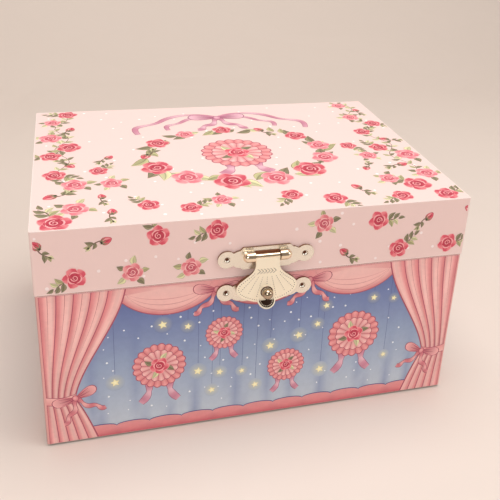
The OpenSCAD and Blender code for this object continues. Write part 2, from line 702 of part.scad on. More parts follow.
// cast frame: back plate, upper and lower arms for the spindle, seat for the comb
module bedplate() color("silver") difference() {
    union() {
        translate([0, 0, (foot_z + bed_top) / 2]) plate_y(bed_y, bed_back)
            round_rect(bed_half, (bed_top - foot_z) / 2, 4);
        at_bed_feet() rod_y(0, 0, foot_boss_r, bed_y, cave_hd);
        block([-5, spindle_y - 4, arm_z], [5, bed_y + 1, arm_z + arm_t]);
        block([idler_x - 4, idler_y - 4, foot_z], [4, bed_y + 1, foot_z + foot_t]);
        block([comb_x0, spindle_y + comb_t / 2, drum_z0], [comb_x0 + comb_w, bed_y + 1, drum_z0 + drum_len]);
        block([wall_x - wall_t, spindle_y + 4, worm_z - 3.4], [wall_x + 1.4, bed_y + 1, worm_z + 8]);
    }
    rod_z(0, spindle_y, spindle_r + run_gap, -1, bed_top);
    rod_z(idler_x, idler_y, idler_arbor_r + run_gap, 0, foot_z + foot_t + 1);
    rod_y(0, barrel_z, arbor_r + run_gap, bed_y - 1, bed_back + 1);
    at_bed_feet() rod_y(0, 0, screw_r, bed_y - 1, cave_hd + 1);
    for (s = [-1, 1]) rod_y(comb_x0 + comb_w / 2, barrel_z + s * 7, screw_r, spindle_y - 1, spindle_y + 8);
    rod_y(click_pivot[0], click_pivot[1], 0.8, bed_y - 1, bed_back + 1);
    for (s = [-1, 1]) rod_y(wall_x, worm_z + s * 3 + 4, 0.7, spindle_y, spindle_y + 8);
}
idler_arbor_r = 0.8;

module bedplate_screws() color("gray") at_bed_feet() {
    rod_y(0, 0, screw_r, bed_y, cave_hd + 2);
    rod_y(0, 0, screw_head_r, bed_y - 1, bed_y);
}

// steel comb: one tooth for each note, longer and wider towards the low notes
module comb() color("lightsteelblue") difference() {
    plate_y(spindle_y - comb_t / 2, spindle_y + comb_t / 2) union() {
        translate([comb_x0 - 2, drum_z0]) square([comb_w + 2, drum_len]);
        for (i = [0:notes - 1]) translate([comb_tip, drum_z0 + (i + 0.15) * note_pitch])
            square([comb_x0 - 2 - comb_tip + 0.1, note_pitch * 0.7]);
    }
    for (s = [-1, 1]) rod_y(comb_x0 + comb_w / 2, barrel_z + s * 7, screw_r, spindle_y - 2, spindle_y + 2);
}

module comb_screws() color("gray") for (s = [-1, 1])
    translate([comb_x0 + comb_w / 2, 0, barrel_z + s * 7]) {
        rod_y(0, 0, screw_r, spindle_y - comb_t / 2, spindle_y + 7.5);
        rod_y(0, 0, screw_head_r, spindle_y - comb_t / 2 - 1, spindle_y - comb_t / 2);
    }

// U-shaped bracket that carries the governor shaft and the top of the idler
module governor_bracket() color("lightgray") difference() {
    union() {
        block([wall_x - wall_t, bay_front + 0.6, worm_z - 6], [wall_x, spindle_y + 4, worm_z + 8.6]);
        for (y = [bay_front + 0.6, spindle_y + 2.4])
            block([wall_x - wall_t, y, worm_z - 3], [worm_x + 2.5, y + wall_t, worm_z + 3]);
        block([wall_x - wall_t, idler_y - 3, worm_z + 6], [idler_x + 2.6, idler_y + 3, worm_z + 7.6]);
        block([wall_x - wall_t, stop_y - 2.5, worm_z + 7], [stop_x + 2.5, stop_y + 2.5, worm_z + 8.6]);
        block([wall_x - 1, spindle_y + 2.4, worm_z - 3], [wall_x + 1.4, spindle_y + 4, worm_z + 8]);
    }
    rod_y(worm_x, worm_z, gov_shaft_r + run_gap, 0, in_hd);
    rod_z(idler_x, idler_y, idler_arbor_r + run_gap, worm_z, worm_z + 9);
    rod_z(stop_x, stop_y, stop_r + run_gap, worm_z, worm_z + 9);
    for (s = [-1, 1]) rod_y(wall_x, worm_z + s * 3 + 4, 0.7, spindle_y, spindle_y + 8);
}
gov_shaft_r = 0.7;

// arbor that the key turns, with the hub for the inner end of the mainspring
module winding_arbor() color("slategray") {
    rod_y(0, barrel_z, arbor_r, disc_y + 0.2, body_hd + key_out);
    rod_y(0, barrel_z, hub_r, barrel_y0 + 0.4, barrel_y0 + barrel_len - cap_t - 0.3);
}
hub_r = 2.8;
key_hub_r = 3;
key_out = 8;
key_y0 = body_hd + 1.2;

// butterfly key screwed on the arbor
module winding_key() color("gold") difference() {
    union() {
        rod_y(0, barrel_z, key_hub_r, key_y0, key_y0 + 8);
        plate_y(key_y0 + 4.4, key_y0 + 6.2) for (s = [-1, 1]) translate([0, barrel_z]) difference() {
            hull() {
                translate([s * (key_w / 2 - 5), 0]) circle(5, $fn = 32);
                circle(2, $fn = 24);
            }
            translate([s * (key_w / 2 - 5), 0]) circle(2.4);
        }
    }
    rod_y(0, barrel_z, arbor_r, key_y0 - 1, body_hd + key_out);
}

notch_a = 2 * 360 / ratchet_teeth - 4;
click_tip = (ratchet_r - 0.9) * [cos(notch_a), sin(notch_a)] + [0.42, 0.14];

// ratchet behind the bedplate
module ratchet_wheel() color("darkgray") translate([0, ratchet_y + ratchet_t, barrel_z]) rotate([90, 0, 0])
    linear_extrude(ratchet_t) difference() {
        polygon([for (k = [0:ratchet_teeth - 1]) for (p = [[ratchet_r - 0.9, -4], [ratchet_r, 0]])
            let (a = 360 * k / ratchet_teeth + p[1]) [p[0] * cos(a), p[0] * sin(a)]]);
        circle(arbor_r);
    }

// pawl that stops the ratchet running back, with its pivot, drawn lifted to ride over the teeth
click_lift = 5.4;
module click() color("dimgray") {
    rod_y(click_pivot[0], click_pivot[1], 0.75, bed_y + 0.1, ratchet_y + ratchet_t);
    translate([0, ratchet_y + ratchet_t, 0]) rotate([90, 0, 0]) linear_extrude(ratchet_t) {
        translate(click_pivot) circle(1.5);
        translate(click_pivot) rotate(-click_lift) translate(-click_pivot) translate([0, barrel_z])
            polygon([click_tip, click_tip + [1.54, -0.67], [6.9, -2.1], [9.5, -2],
                click_tip + [2.6, 0.4], click_tip + [0.47, 0.83]]);
    }
}

// barrel with crown teeth on its front face and room for the mainspring
module spring_barrel() color("gold") difference() {
    union() {
        rod_y(0, barrel_z, crown_r + crown_face / 2 + 0.5, disc_y, disc_y + disc_t);
        rod_y(0, barrel_z, barrel_r, disc_y, barrel_y0 + barrel_len);
        for (i = [0:crown_teeth - 1]) translate([0, disc_y + 0.1, barrel_z])
            rotate([0, 360 * (i + 0.5) / crown_teeth, 0]) crown_tooth();
    }
    rod_y(0, barrel_z, barrel_r - 0.8, barrel_y0, barrel_y0 + barrel_len + 1);
    rod_y(0, barrel_z, arbor_r + run_gap, 0, barrel_y0 + 1);
}
crown_root_w = 1.32;
crown_tip_w = 0.42;
module crown_tooth() translate([0, 0, crown_r - crown_face / 2]) linear_extrude(crown_face)
    polygon([[-crown_root_w / 2, 0], [crown_root_w / 2, 0],
        [crown_tip_w / 2, -crown_add - crown_ded - 0.1], [-crown_tip_w / 2, -crown_add - crown_ded - 0.1]]);

module barrel_cap() color("khaki") difference() {
    rod_y(0, barrel_z, barrel_r - 0.8, barrel_y0 + barrel_len - cap_t, barrel_y0 + barrel_len);
    rod_y(0, barrel_z, arbor_r + run_gap, barrel_y0, in_hd);
}

// mainspring: flat steel strip wound from the hub out to the barrel wall
spring_turns = 6;
spring_t = 0.35;
spring_in = hub_r + 0.1;
spring_out = barrel_r - 0.9 - spring_t;
function spiral(u, off) = let (a = 360 * spring_turns * u, r = spring_in + (spring_out - spring_in) * u + off)
    [r * cos(a), r * sin(a)];
module mainspring() color("steelblue")
    translate([0, barrel_y0 + barrel_len - cap_t - 0.5, barrel_z]) rotate([90, 0, 0])
    linear_extrude(barrel_len - cap_t - 1) polygon(concat(
        [for (i = [0:20 * spring_turns]) spiral(i / (20 * spring_turns), 0)],
        [for (i = [20 * spring_turns:-1:0]) spiral(i / (20 * spring_turns), spring_t)]));

// brass cylinder with the tune pins set out by a rule, and the pinion that the crown drives
module pinned_cylinder() color("goldenrod") translate([0, spindle_y, 0]) difference() {
    union() {
        translate([0, 0, drum_z0 - 0.6]) cylinder(r = drum_r, h = drum_len + 1.2);
        for (i = [0:notes - 1], k = [0:1]) translate([0, 0, drum_z0 + (i + 0.5) * note_pitch])
            rotate([0, 90, 40 + 137 * i % 280 + 35 * k]) translate([0, 0, drum_r - 0.4])
                cylinder(r = 0.2, h = 0.4 + pin_h, $fn = 16);
        translate([0, 0, pinion_z - 0.8]) rotate(90)
            linear_extrude(1.6) gear_2d(pinion_teeth, crown_module, 0.16, 0.8, 1.15);
        cylinder(r = 3, h = pinion_z - 0.5);
    }
    translate([0, 0, -1]) cylinder(r = spindle_r, h = box_h);
    translate([0, 0, -1]) cylinder(r = 3.5, h = drum_z0 - 0.6 + 1);
}

module spindle() color("slategray") rod_z(0, spindle_y, spindle_r, floor_z + gap, socket_z + 3);

module cylinder_wheel() color("gold") translate([0, spindle_y, wheel_z]) difference() {
    union() {
        rotate(idler_angle) linear_extrude(wheel_t) gear_2d(wheel_teeth, wheel_module, 0.06);
        cylinder(r = 2.6, h = wheel_t + 1.6);
    }
    translate([0, 0, -1]) cylinder(r = spindle_r, h = 9);
}

// idler: pinion at the bottom and worm wheel above it on one arbor
module idler() color("khaki") translate([idler_x, idler_y, 0]) {
    translate([0, 0, foot_z + 0.2]) cylinder(r = idler_arbor_r, h = worm_z + 7.4 - foot_z);
    translate([0, 0, wheel_z - 0.4]) rotate(idler_angle + 180 / idler_teeth + 180) linear_extrude(wheel_t + 0.8)
        gear_2d(idler_teeth, wheel_module, 0.06, 0.8, 1.1);
    translate([0, 0, wheel_z + wheel_t]) cylinder(r = 1.6, h = worm_z - wheel_z - wheel_t);
    translate([0, 0, worm_z - worm_wheel_t / 2]) linear_extrude(worm_wheel_t) polygon(worm_wheel_outline);
}
worm_tooth = [[-0.30, -0.75], [-0.16, 0.45], [0.16, 0.45], [0.30, -0.75]];
worm_wheel_outline = [for (k = [0:worm_wheel_teeth - 1]) for (t = worm_tooth)
    let (r = worm_wheel_r + t[1], a = 360 * k / worm_wheel_teeth + 360 * t[0] / (2 * PI * worm_wheel_r))
    [r * cos(a), r * sin(a)]];

// worm thread: a ridge swept along a helix by rule
worm_turns = 3;
worm_seg = 20;
worm_half_root = 0.36;
worm_half_tip = 0.16;
worm_root = worm_r - 0.75;
function worm_ring(i) = let (a = 360 * i / worm_seg, c = worm_pitch * (i / worm_seg - worm_turns / 2))
    [for (p = [[worm_root - 0.2, -worm_half_root], [worm_r + worm_add, -worm_half_tip],
        [worm_r + worm_add, worm_half_tip], [worm_root - 0.2, worm_half_root]])
        [p[0] * cos(a), p[0] * sin(a), c + p[1]]];
worm_count = worm_turns * worm_seg;
module worm_thread() polyhedron(
    points = [for (i = [0:worm_count]) each worm_ring(i)],
    faces = concat([[3, 2, 1, 0]], [[for (k = [0:3]) worm_count * 4 + k]],
        [for (i = [0:worm_count - 1], k = [0:3]) each let (a = 4 * i + k, b = 4 * i + (k + 1) % 4)
            [[a, b, a + 4], [b, b + 4, a + 4]]]));

// governor: worm and air brake on one fast shaft
module governor() color("silver") translate([worm_x, idler_y, worm_z]) rotate([90, worm_phase, 0]) {
    translate([0, 0, idler_y - spindle_y - 4]) cylinder(r = gov_shaft_r, h = spindle_y + 4 - bay_front - 0.6);
    cylinder(r = worm_root, h = worm_pitch * worm_turns + 1.4, center = true);
    worm_thread();
    translate([0, 0, idler_y - fan_y0 - fan_len]) {
        cylinder(r = 1.5, h = fan_len);
        for (s = [0, 1]) rotate(s * 180) translate([0.5, -0.3, 0]) cube([fan_r - 0.5, 0.6, fan_len]);
    }
}
worm_phase = 0;

// wire that the closed lid presses down to hold the fan
module stop_wire() color("silver") {
    rod_z(stop_x, stop_y, stop_r, worm_z + fan_r + gap, frame_z - gap);
    translate([stop_x, stop_y, worm_z + fan_r + gap + 6]) cylinder(r = 1.6, h = 1);
}

// ---------- dancer ----------

// cup on the spindle with a peg inside the spring
module spring_socket() color("ivory") difference() {
    union() {
        rod_z(0, spindle_y, coil_r + wire_r + 1, socket_z, spring_z);
        rod_z(0, spindle_y, coil_r - wire_r - 0.45, spring_z - 0.1, spring_z + 1.4);
    }
    rod_z(0, spindle_y, spindle_r, socket_z - 1, socket_z + 3);
}

// spring bent through a quarter turn by the closed lid
coil_seg = 12;
wire_sides = 6;
coil_count = coil_turns * coil_seg;
// middle line of the folded spring at share u, and the two directions across it
function fold_mid(u) = [0, fold_y + bend_r * cos(90 * u), spring_z + bend_r * sin(90 * u)];
function fold_out(u) = [0, cos(90 * u), sin(90 * u)];
function coil_out(u, a) = cos(a) * fold_out(u) + [sin(a), 0, 0];
function coil_ring(i) = let (u = 0.03 + 0.94 * i / coil_count, a = 360 * i / coil_seg, o = coil_out(u, a),
    along = [0, -sin(90 * u), cos(90 * u)])
    [for (k = [0:wire_sides - 1]) fold_mid(u) + o * (coil_r + wire_r * cos(360 * k / wire_sides))
        + along * wire_r * sin(360 * k / wire_sides)];
module dancer_spring() color("silver") polyhedron(
    points = [for (i = [0:coil_count]) each coil_ring(i)],
    faces = concat([[for (k = [wire_sides - 1:-1:0]) k]],
        [[for (k = [0:wire_sides - 1]) coil_count * wire_sides + k]],
        [for (i = [0:coil_count - 1], k = [0:wire_sides - 1]) each
            let (a = wire_sides * i + k, b = wire_sides * i + (k + 1) % wire_sides)
            [[a, b, a + wire_sides], [b, b + wire_sides, a + wire_sides]]]));

// everything on the dancer is drawn upright from her toe, then laid forward
module laid_forward() translate([0, toe_y, fold_z]) rotate([90, 0, 0]) children();

module dancer_cup() color("ivory") difference() {
    union() {
        rod_y(0, fold_z, coil_r + wire_r + 1, fold_y - cup_len, fold_y);
        rod_y(0, fold_z, coil_r - wire_r - 0.45, fold_y - 0.1, fold_y + 1.4);
    }
    rod_y(0, fold_z, 1.2, toe_y - 2, toe_y);
}

// limb from a to b, radius ra to rb
module limb(a, b, ra, rb) hull() {
    translate(a) sphere(r = ra, $fn = 14);
    translate(b) sphere(r = rb, $fn = 14);
}

body_profile = [[0, 0.40], [2.3, 0.42], [2.45, 0.46], [1.9, 0.50], [2.2, 0.55], [2.6, 0.60], [2.5, 0.635],
    [1.3, 0.655], [0.85, 0.67], [0.85, 0.73], [0, 0.73]];
leg_profile = [[0, 0], [1.0, 0], [1.15, 0.02], [0.75, 0.06], [1.3, 0.16], [1.0, 0.23], [1.75, 0.34], [2.3, 0.42], [0, 0.42]];
head_h = 0.76;
dk = dancer_h / 50;
module dancer() color("bisque") laid_forward() {
    rotate_extrude($fn = 32) polygon([for (p = leg_profile) [p[0] * dk, p[1] * dancer_h]]);
    rotate_extrude($fn = 32) polygon([for (p = body_profile) [p[0] * dk, p[1] * dancer_h]]);
    translate([0, 0, head_h * dancer_h]) sphere(r = 3 * dk, $fn = 32);
    translate([0, 1.6 * dk, (head_h + 0.045) * dancer_h]) sphere(r = 1.6 * dk, $fn = 24);
    for (s = [-1, 1]) {
        limb(dk * [s * 2.3, 0, 31.75], dk * [s * 5.6, -1, 39], 0.85 * dk, 0.7 * dk);
        limb(dk * [s * 5.6, -1, 39], dk * [s * 1.2, -1.6, 48.75], 0.7 * dk, 0.5 * dk);
    }
}

// net skirt: a shallow ruffled cone round the waist
module tutu() color("pink") laid_forward() translate([0, 0, waist_h - 2.2]) difference() {
    rotate_extrude() polygon([[2.8, 1.2], [7, 0.9], [13, 0.1], [tutu_r, -1.6], [tutu_r, -0.9],
        [14, 1.9], [8, 3.1], [2.8, 3.0]]);
    translate([0, 0, -5]) cylinder(r = 2.8, h = 12);
}

front_board();
back_board();
side_boards();
base_board();
body_wrap();
base_felt();
body_lining();
floor_pads();
cross_divider();
bay_dividers();
centre_divider();
deck();
ring_shelf();
ring_rolls();
deck_bush();
catch_plate();
catch_post();
catch_brads();
hinge_leaves_body();
hinge_pins();
hinge_screws_body();
bedplate();
bedplate_screws();
comb();
comb_screws();
governor_bracket();
lid_top_board();
lid_wall_boards();
lid_wrap();
lid_lining();
mirror();
mirror_frame();
hinge_leaves_lid();
hinge_screws_lid();
lid_plate();
hasp_pin();
lid_plate_brads();
hasp_leaf();
hasp_knob();
snap_clip();
winding_arbor();
winding_key();
ratchet_wheel();
click();
spring_barrel();
barrel_cap();
mainspring();
pinned_cylinder();
spindle();
cylinder_wheel();
spring_socket();
idler();
governor();
stop_wire();
dancer_spring();
dancer_cup();
dancer();
tutu();
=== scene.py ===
import bpy
import json
import math
import random
from mathutils import Matrix, Vector
from mathutils.noise import noise

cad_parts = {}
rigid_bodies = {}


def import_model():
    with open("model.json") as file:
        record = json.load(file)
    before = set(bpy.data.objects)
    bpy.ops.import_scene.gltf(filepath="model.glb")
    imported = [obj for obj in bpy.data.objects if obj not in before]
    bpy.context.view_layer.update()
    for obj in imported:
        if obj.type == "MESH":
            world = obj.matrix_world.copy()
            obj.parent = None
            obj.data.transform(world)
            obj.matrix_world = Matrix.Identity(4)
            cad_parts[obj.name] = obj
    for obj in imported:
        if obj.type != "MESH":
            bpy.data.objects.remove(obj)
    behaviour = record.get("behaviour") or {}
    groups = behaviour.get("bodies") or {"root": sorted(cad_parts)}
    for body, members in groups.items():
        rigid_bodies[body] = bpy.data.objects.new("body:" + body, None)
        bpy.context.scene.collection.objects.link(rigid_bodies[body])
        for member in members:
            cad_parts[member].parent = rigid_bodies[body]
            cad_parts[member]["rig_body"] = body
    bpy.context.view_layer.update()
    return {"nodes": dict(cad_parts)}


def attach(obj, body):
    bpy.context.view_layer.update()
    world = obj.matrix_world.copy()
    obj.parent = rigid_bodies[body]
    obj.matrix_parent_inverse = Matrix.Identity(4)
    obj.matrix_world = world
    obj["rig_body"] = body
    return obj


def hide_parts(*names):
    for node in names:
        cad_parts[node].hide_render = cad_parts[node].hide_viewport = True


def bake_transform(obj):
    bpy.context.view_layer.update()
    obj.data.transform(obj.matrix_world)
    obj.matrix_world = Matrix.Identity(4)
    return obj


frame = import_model()
NODES = frame["nodes"]
MM = 0.001

# ---------------------------------------------------------------- sizes of the box, in mm

BOX_W, BOX_D, BOX_H = 200.0, 147.0, 111.5
LID_Z = 81.0  # lower edge of the lid
RIM_Z = 80.6  # upper edge of the body
BODY_W, BODY_D = 199.2, 146.2
BODY_FOOT = 1.0
SKIN = 0.15  # how far the papers lie inside the box's faces, which leaves room for the ink
LAYER = 0.015  # thickness of one layer of ink


def deselect():
    """Leaves edit mode with nothing selected."""
    if bpy.context.object and bpy.context.object.mode != "OBJECT":
        bpy.ops.object.mode_set(mode="OBJECT")
    bpy.ops.object.select_all(action="DESELECT")


def pick(obj):
    """Makes one piece the only one selected."""
    deselect()
    obj.select_set(True)
    bpy.context.view_layer.objects.active = obj
    return obj


def settle(obj):
    """Puts the object's place into its mesh."""
    pick(obj)
    bpy.ops.object.transform_apply(location=True, rotation=True, scale=True)
    return obj


def apply_all(obj):
    """Applies the piece's modifiers in their order."""
    pick(obj)
    for m in list(obj.modifiers):
        bpy.ops.object.modifier_apply(modifier=m.name)
    return obj


def smooth(obj, degrees=35):
    pick(obj)
    bpy.ops.object.shade_smooth_by_angle(angle=math.radians(degrees))
    return obj


def place_copy(name, mesh):
    """A new piece with its own copy of a mesh."""
    obj = bpy.data.objects.new(name, mesh.copy())
    bpy.context.scene.collection.objects.link(obj)
    return obj


def outward(obj):
    """Closes the seams and turns all faces outwards."""
    pick(obj)
    bpy.ops.object.mode_set(mode="EDIT")
    bpy.ops.mesh.select_all(action="SELECT")
    bpy.ops.mesh.remove_doubles(threshold=1e-6)
    bpy.ops.mesh.normals_make_consistent(inside=False)
    bpy.ops.object.mode_set(mode="OBJECT")
    return obj


def grid_form(name, columns, rows, place):
    """A grid whose points move to place(s, t), in mm; s and t run from 0 to 1 over its width and depth."""
    deselect()
    bpy.ops.mesh.primitive_grid_add(x_subdivisions=columns, y_subdivisions=rows, size=1)
    form = bpy.context.object
    form.name = name
    for v in form.data.vertices:
        v.co = Vector(place(v.co.x + 0.5, v.co.y + 0.5)) * MM
    return form


def ring_form(name, around, rings, place, capped=True):
    """A circle extruded ring by ring, whose points move to place(ring, angle), in mm."""
    deselect()
    bpy.ops.mesh.primitive_circle_add(vertices=around, radius=1, fill_type="NGON" if capped else "NOTHING")
    form = bpy.context.object
    form.name = name
    bpy.ops.object.mode_set(mode="EDIT")
    bpy.ops.mesh.select_mode(type="VERT")
    bpy.ops.mesh.select_all(action="SELECT")
    for _ in range(rings):
        bpy.ops.mesh.extrude_region_move(TRANSFORM_OT_translate={"value": (0, 0, 1)})
    bpy.ops.object.mode_set(mode="OBJECT")
    for v in form.data.vertices:
        angle = math.atan2(v.co.y, v.co.x) % (2 * math.pi)
        v.co = Vector(place(round(v.co.z), angle)) * MM
    return form


def ball(centre, r, around=16, stretch=(1, 1, 1)):
    """A sphere, stretched along x, y and z. Sizes are in mm."""
    deselect()
    bpy.ops.mesh.primitive_uv_sphere_add(segments=around, ring_count=around // 2, radius=r * MM,
                                         location=[c * MM for c in centre])
    bpy.context.object.scale = stretch
    return settle(bpy.context.object)


def join(name, parts):
    """Makes several pieces one."""
    deselect()
    for part in parts:
        part.select_set(True)
    bpy.context.view_layer.objects.active = parts[0]
    bpy.ops.object.join()
    parts[0].name = name
    return parts[0]


def copies(name, source, places):
    """Copies of one small form, each with its own mesh, joined. The places are in mm."""
    made = []
    for place in places:
        copy = place_copy(name, source.data)
        for v in copy.data.vertices:
            v.co += Vector(place) * MM
        made.append(copy)
    bpy.data.objects.remove(source)
    return join(name, made)


# ---------------------------------------------------------------- shader building

def linear(rgb):
    """A colour of 0 to 255 as the linear values that shaders take."""
    out = []
    for c in rgb:
        c = c / 255.0
        out.append(c / 12.92 if c <= 0.04045 else ((c + 0.055) / 1.055) ** 2.4)
    return out


def shade(rgb, k):
    """A colour made darker or lighter by the factor k."""
    return tuple(min(255.0, max(0.0, c * k)) for c in rgb)


def blend_ink(a, b, t):
    """The colour at t of the way from a to b."""
    return tuple(a[i] + (b[i] - a[i]) * t for i in range(3))


class Nodes:
    """Small helper that adds nodes and joins them."""

    def __init__(self, tree):
        self.tree = tree

    def add(self, kind, **values):
        node = self.tree.nodes.new(kind)
        for key, value in values.items():
            if hasattr(node, key):
                setattr(node, key, value)
            else:
                node.inputs[key.replace("_", " ")].default_value = value
        return node

    def join(self, a, b):
        self.tree.links.new(a, b)

    def math(self, operation, a, b=None, c=None, clamp=False):
        node = self.tree.nodes.new("ShaderNodeMath")
        node.operation = operation
        node.use_clamp = clamp
        for i, value in enumerate((a, b, c)):
            if value is None:
                continue
            if isinstance(value, (int, float)):
                node.inputs[i].default_value = value
            else:
                self.join(value, node.inputs[i])
        return node.outputs[0]

    def mix(self, factor, a, b, kind="MIX"):
        node = self.tree.nodes.new("ShaderNodeMix")
        node.data_type = "RGBA"
        node.blend_type = kind
        sockets = [node.inputs[0], node.inputs[6], node.inputs[7]]
        for socket, value in zip(sockets, (factor, a, b)):
            if isinstance(value, (int, float)):
                socket.default_value = value
            elif isinstance(value, (tuple, list)):
                socket.default_value = (*value[:3], 1.0)
            else:
                self.join(value, socket)
        return node.outputs[2]

    def ramp(self, value, first, last, *between):
        """Colours along a value, each given as (position, colour)."""
        node = self.tree.nodes.new("ShaderNodeValToRGB")
        stops = node.color_ramp.elements
        for stop, (position, colour) in zip(stops, (first, last)):
            stop.position = position
            stop.color = (*colour, 1)
        for position, colour in between:
            stops.new(position).color = (*colour, 1)
        self.join(value, node.inputs[0])
        return node.outputs[0]


def group(name, inputs, outputs):
    """A new node group with named sockets, and its tools: tree, Nodes, input node and output node."""
    tree = bpy.data.node_groups.new(name, "ShaderNodeTree")
    for label, kind, value in inputs:
        socket = tree.interface.new_socket(name=label, in_out="INPUT", socket_type=kind)
        if value is not None:
            socket.default_value = value
    for label, kind in outputs:
        tree.interface.new_socket(name=label, in_out="OUTPUT", socket_type=kind)
    n = Nodes(tree)
    return tree, n, n.add("NodeGroupInput"), n.add("NodeGroupOutput")


def make_mottle():
    """Cloudy, brushed change of value over a surface, with a fine height for the bump."""
    tree, n, i, o = group(
        "mottle",
        [("Scale", "NodeSocketFloat", 60.0), ("Depth", "NodeSocketFloat", 0.06),
         ("Fine", "NodeSocketFloat", 900.0), ("Color", "NodeSocketColor", (1, 1, 1, 1))],
        [("Color", "NodeSocketColor"), ("Height", "NodeSocketFloat")])
    coords = n.add("ShaderNodeTexCoord").outputs["Object"]
    cloud = n.add("ShaderNodeTexNoise", Detail=3.0, Roughness=0.55)
    fine = n.add("ShaderNodeTexNoise", Detail=2.0)
    for node, scale in ((cloud, i.outputs["Scale"]), (fine, i.outputs["Fine"])):
        n.join(coords, node.inputs["Vector"])
        n.join(scale, node.inputs["Scale"])
    swing = n.math("SUBTRACT", cloud.outputs["Fac"], 0.5)
    grain = n.math("MULTIPLY", n.math("SUBTRACT", fine.outputs["Fac"], 0.5), 0.35)
    total = n.math("MULTIPLY", n.math("ADD", swing, grain), i.outputs["Depth"])
    gain = n.math("MULTIPLY_ADD", total, 2.0, 1.0)
    combine = n.add("ShaderNodeCombineColor")
    for k in range(3):
        n.join(gain, combine.inputs[k])
    n.join(n.mix(1.0, i.outputs["Color"], combine.outputs[0], "MULTIPLY"), o.inputs["Color"])
    n.join(fine.outputs["Fac"], o.inputs["Height"])
    return tree


def make_edge_wear():
    """Mask of rubbed edges, from the geometry's own edges."""
    tree, n, i, o = group(
        "edge_wear",
        [("Radius", "NodeSocketFloat", 0.0006), ("Breakup", "NodeSocketFloat", 400.0)],
        [("Mask", "NodeSocketFloat")])
    coords = n.add("ShaderNodeTexCoord").outputs["Object"]
    bevel = n.add("ShaderNodeBevel", samples=4)
    n.join(i.outputs["Radius"], bevel.inputs["Radius"])
    geo = n.add("ShaderNodeNewGeometry")
    dot = n.add("ShaderNodeVectorMath", operation="DOT_PRODUCT")
    n.join(bevel.outputs[0], dot.inputs[0])
    n.join(geo.outputs["Normal"], dot.inputs[1])
    turn = n.math("SUBTRACT", 1.0, dot.outputs["Value"])
    breakup = n.add("ShaderNodeTexNoise", Detail=3.0)
    n.join(coords, breakup.inputs["Vector"])
    n.join(i.outputs["Breakup"], breakup.inputs["Scale"])
    lifted = n.math("MULTIPLY", turn, n.math("MULTIPLY_ADD", breakup.outputs["Fac"], 8.0, 2.0), clamp=True)
    n.join(lifted, o.inputs["Mask"])
    return tree


def make_weave():
    """Crossed threads on Object coordinates, for felt, net and satin."""
    tree, n, i, o = group("weave", [("Threads", "NodeSocketFloat", 2500.0)], [("Height", "NodeSocketFloat")])
    coords = n.add("ShaderNodeTexCoord").outputs["Object"]
    split = n.add("ShaderNodeSeparateXYZ")
    n.join(coords, split.inputs[0])
    waves = [n.math("SINE", n.math("MULTIPLY", split.outputs[k], i.outputs["Threads"])) for k in range(3)]
    crossed = n.math("ADD", n.math("ADD", waves[0], waves[1]), waves[2])
    n.join(n.math("MULTIPLY_ADD", crossed, 0.16, 0.5), o.inputs["Height"])
    return tree


MOTTLE = make_mottle()
EDGE = make_edge_wear()
WEAVE = make_weave()


def material(name, rgb, roughness=0.5, metallic=0.0, mottle=(60.0, 0.06, 900.0), bump=0.0, bump_size=0.0001,
             worn=None, weave=None, sheen=0.0, coat=0.0, attribute=None, rough_swing=0.08, specular=0.5):
    """A finish. mottle is (scale, depth, fine scale); worn is (colour, radius in metres) of the rubbed edges;
    weave is threads to the metre, times 2 pi; attribute names the mesh colours that stand for rgb."""
    made = bpy.data.materials.new(name)
    made.use_nodes = True
    tree = made.node_tree
    n = Nodes(tree)
    shader = tree.nodes["Principled BSDF"]
    shader.inputs["Metallic"].default_value = metallic
    shader.inputs["Specular IOR Level"].default_value = specular
    if sheen:
        shader.inputs["Sheen Weight"].default_value = sheen
        shader.inputs["Sheen Roughness"].default_value = 0.45
    if coat:
        shader.inputs["Coat Weight"].default_value = coat
        shader.inputs["Coat Roughness"].default_value = 0.22
    cloud = n.add("ShaderNodeGroup", node_tree=MOTTLE)
    cloud.inputs["Scale"].default_value = mottle[0]
    cloud.inputs["Depth"].default_value = mottle[1]
    cloud.inputs["Fine"].default_value = mottle[2]
    if attribute:
        ink = n.add("ShaderNodeAttribute", attribute_name=attribute)
        n.join(ink.outputs["Color"], cloud.inputs["Color"])
    else:
        cloud.inputs["Color"].default_value = (*linear(rgb), 1.0)
    colour = cloud.outputs["Color"]
    if worn:
        wear = n.add("ShaderNodeGroup", node_tree=EDGE)
        wear.inputs["Radius"].default_value = worn[1]
        colour = n.mix(wear.outputs["Mask"], colour, linear(worn[0]))
    n.join(colour, shader.inputs["Base Color"])
    n.join(n.math("MULTIPLY_ADD", cloud.outputs["Height"], rough_swing * 2, roughness - rough_swing,
                  clamp=True), shader.inputs["Roughness"])
    if bump:
        height = cloud.outputs["Height"]
        if weave:
            threads = n.add("ShaderNodeGroup", node_tree=WEAVE)
            threads.inputs["Threads"].default_value = weave
            height = n.math("ADD", threads.outputs["Height"], height)
        relief = n.add("ShaderNodeBump", Strength=bump, Distance=bump_size)
        n.join(height, relief.inputs["Height"])
        n.join(relief.outputs[0], shader.inputs["Normal"])
    return made


# ---------------------------------------------------------------- finishes

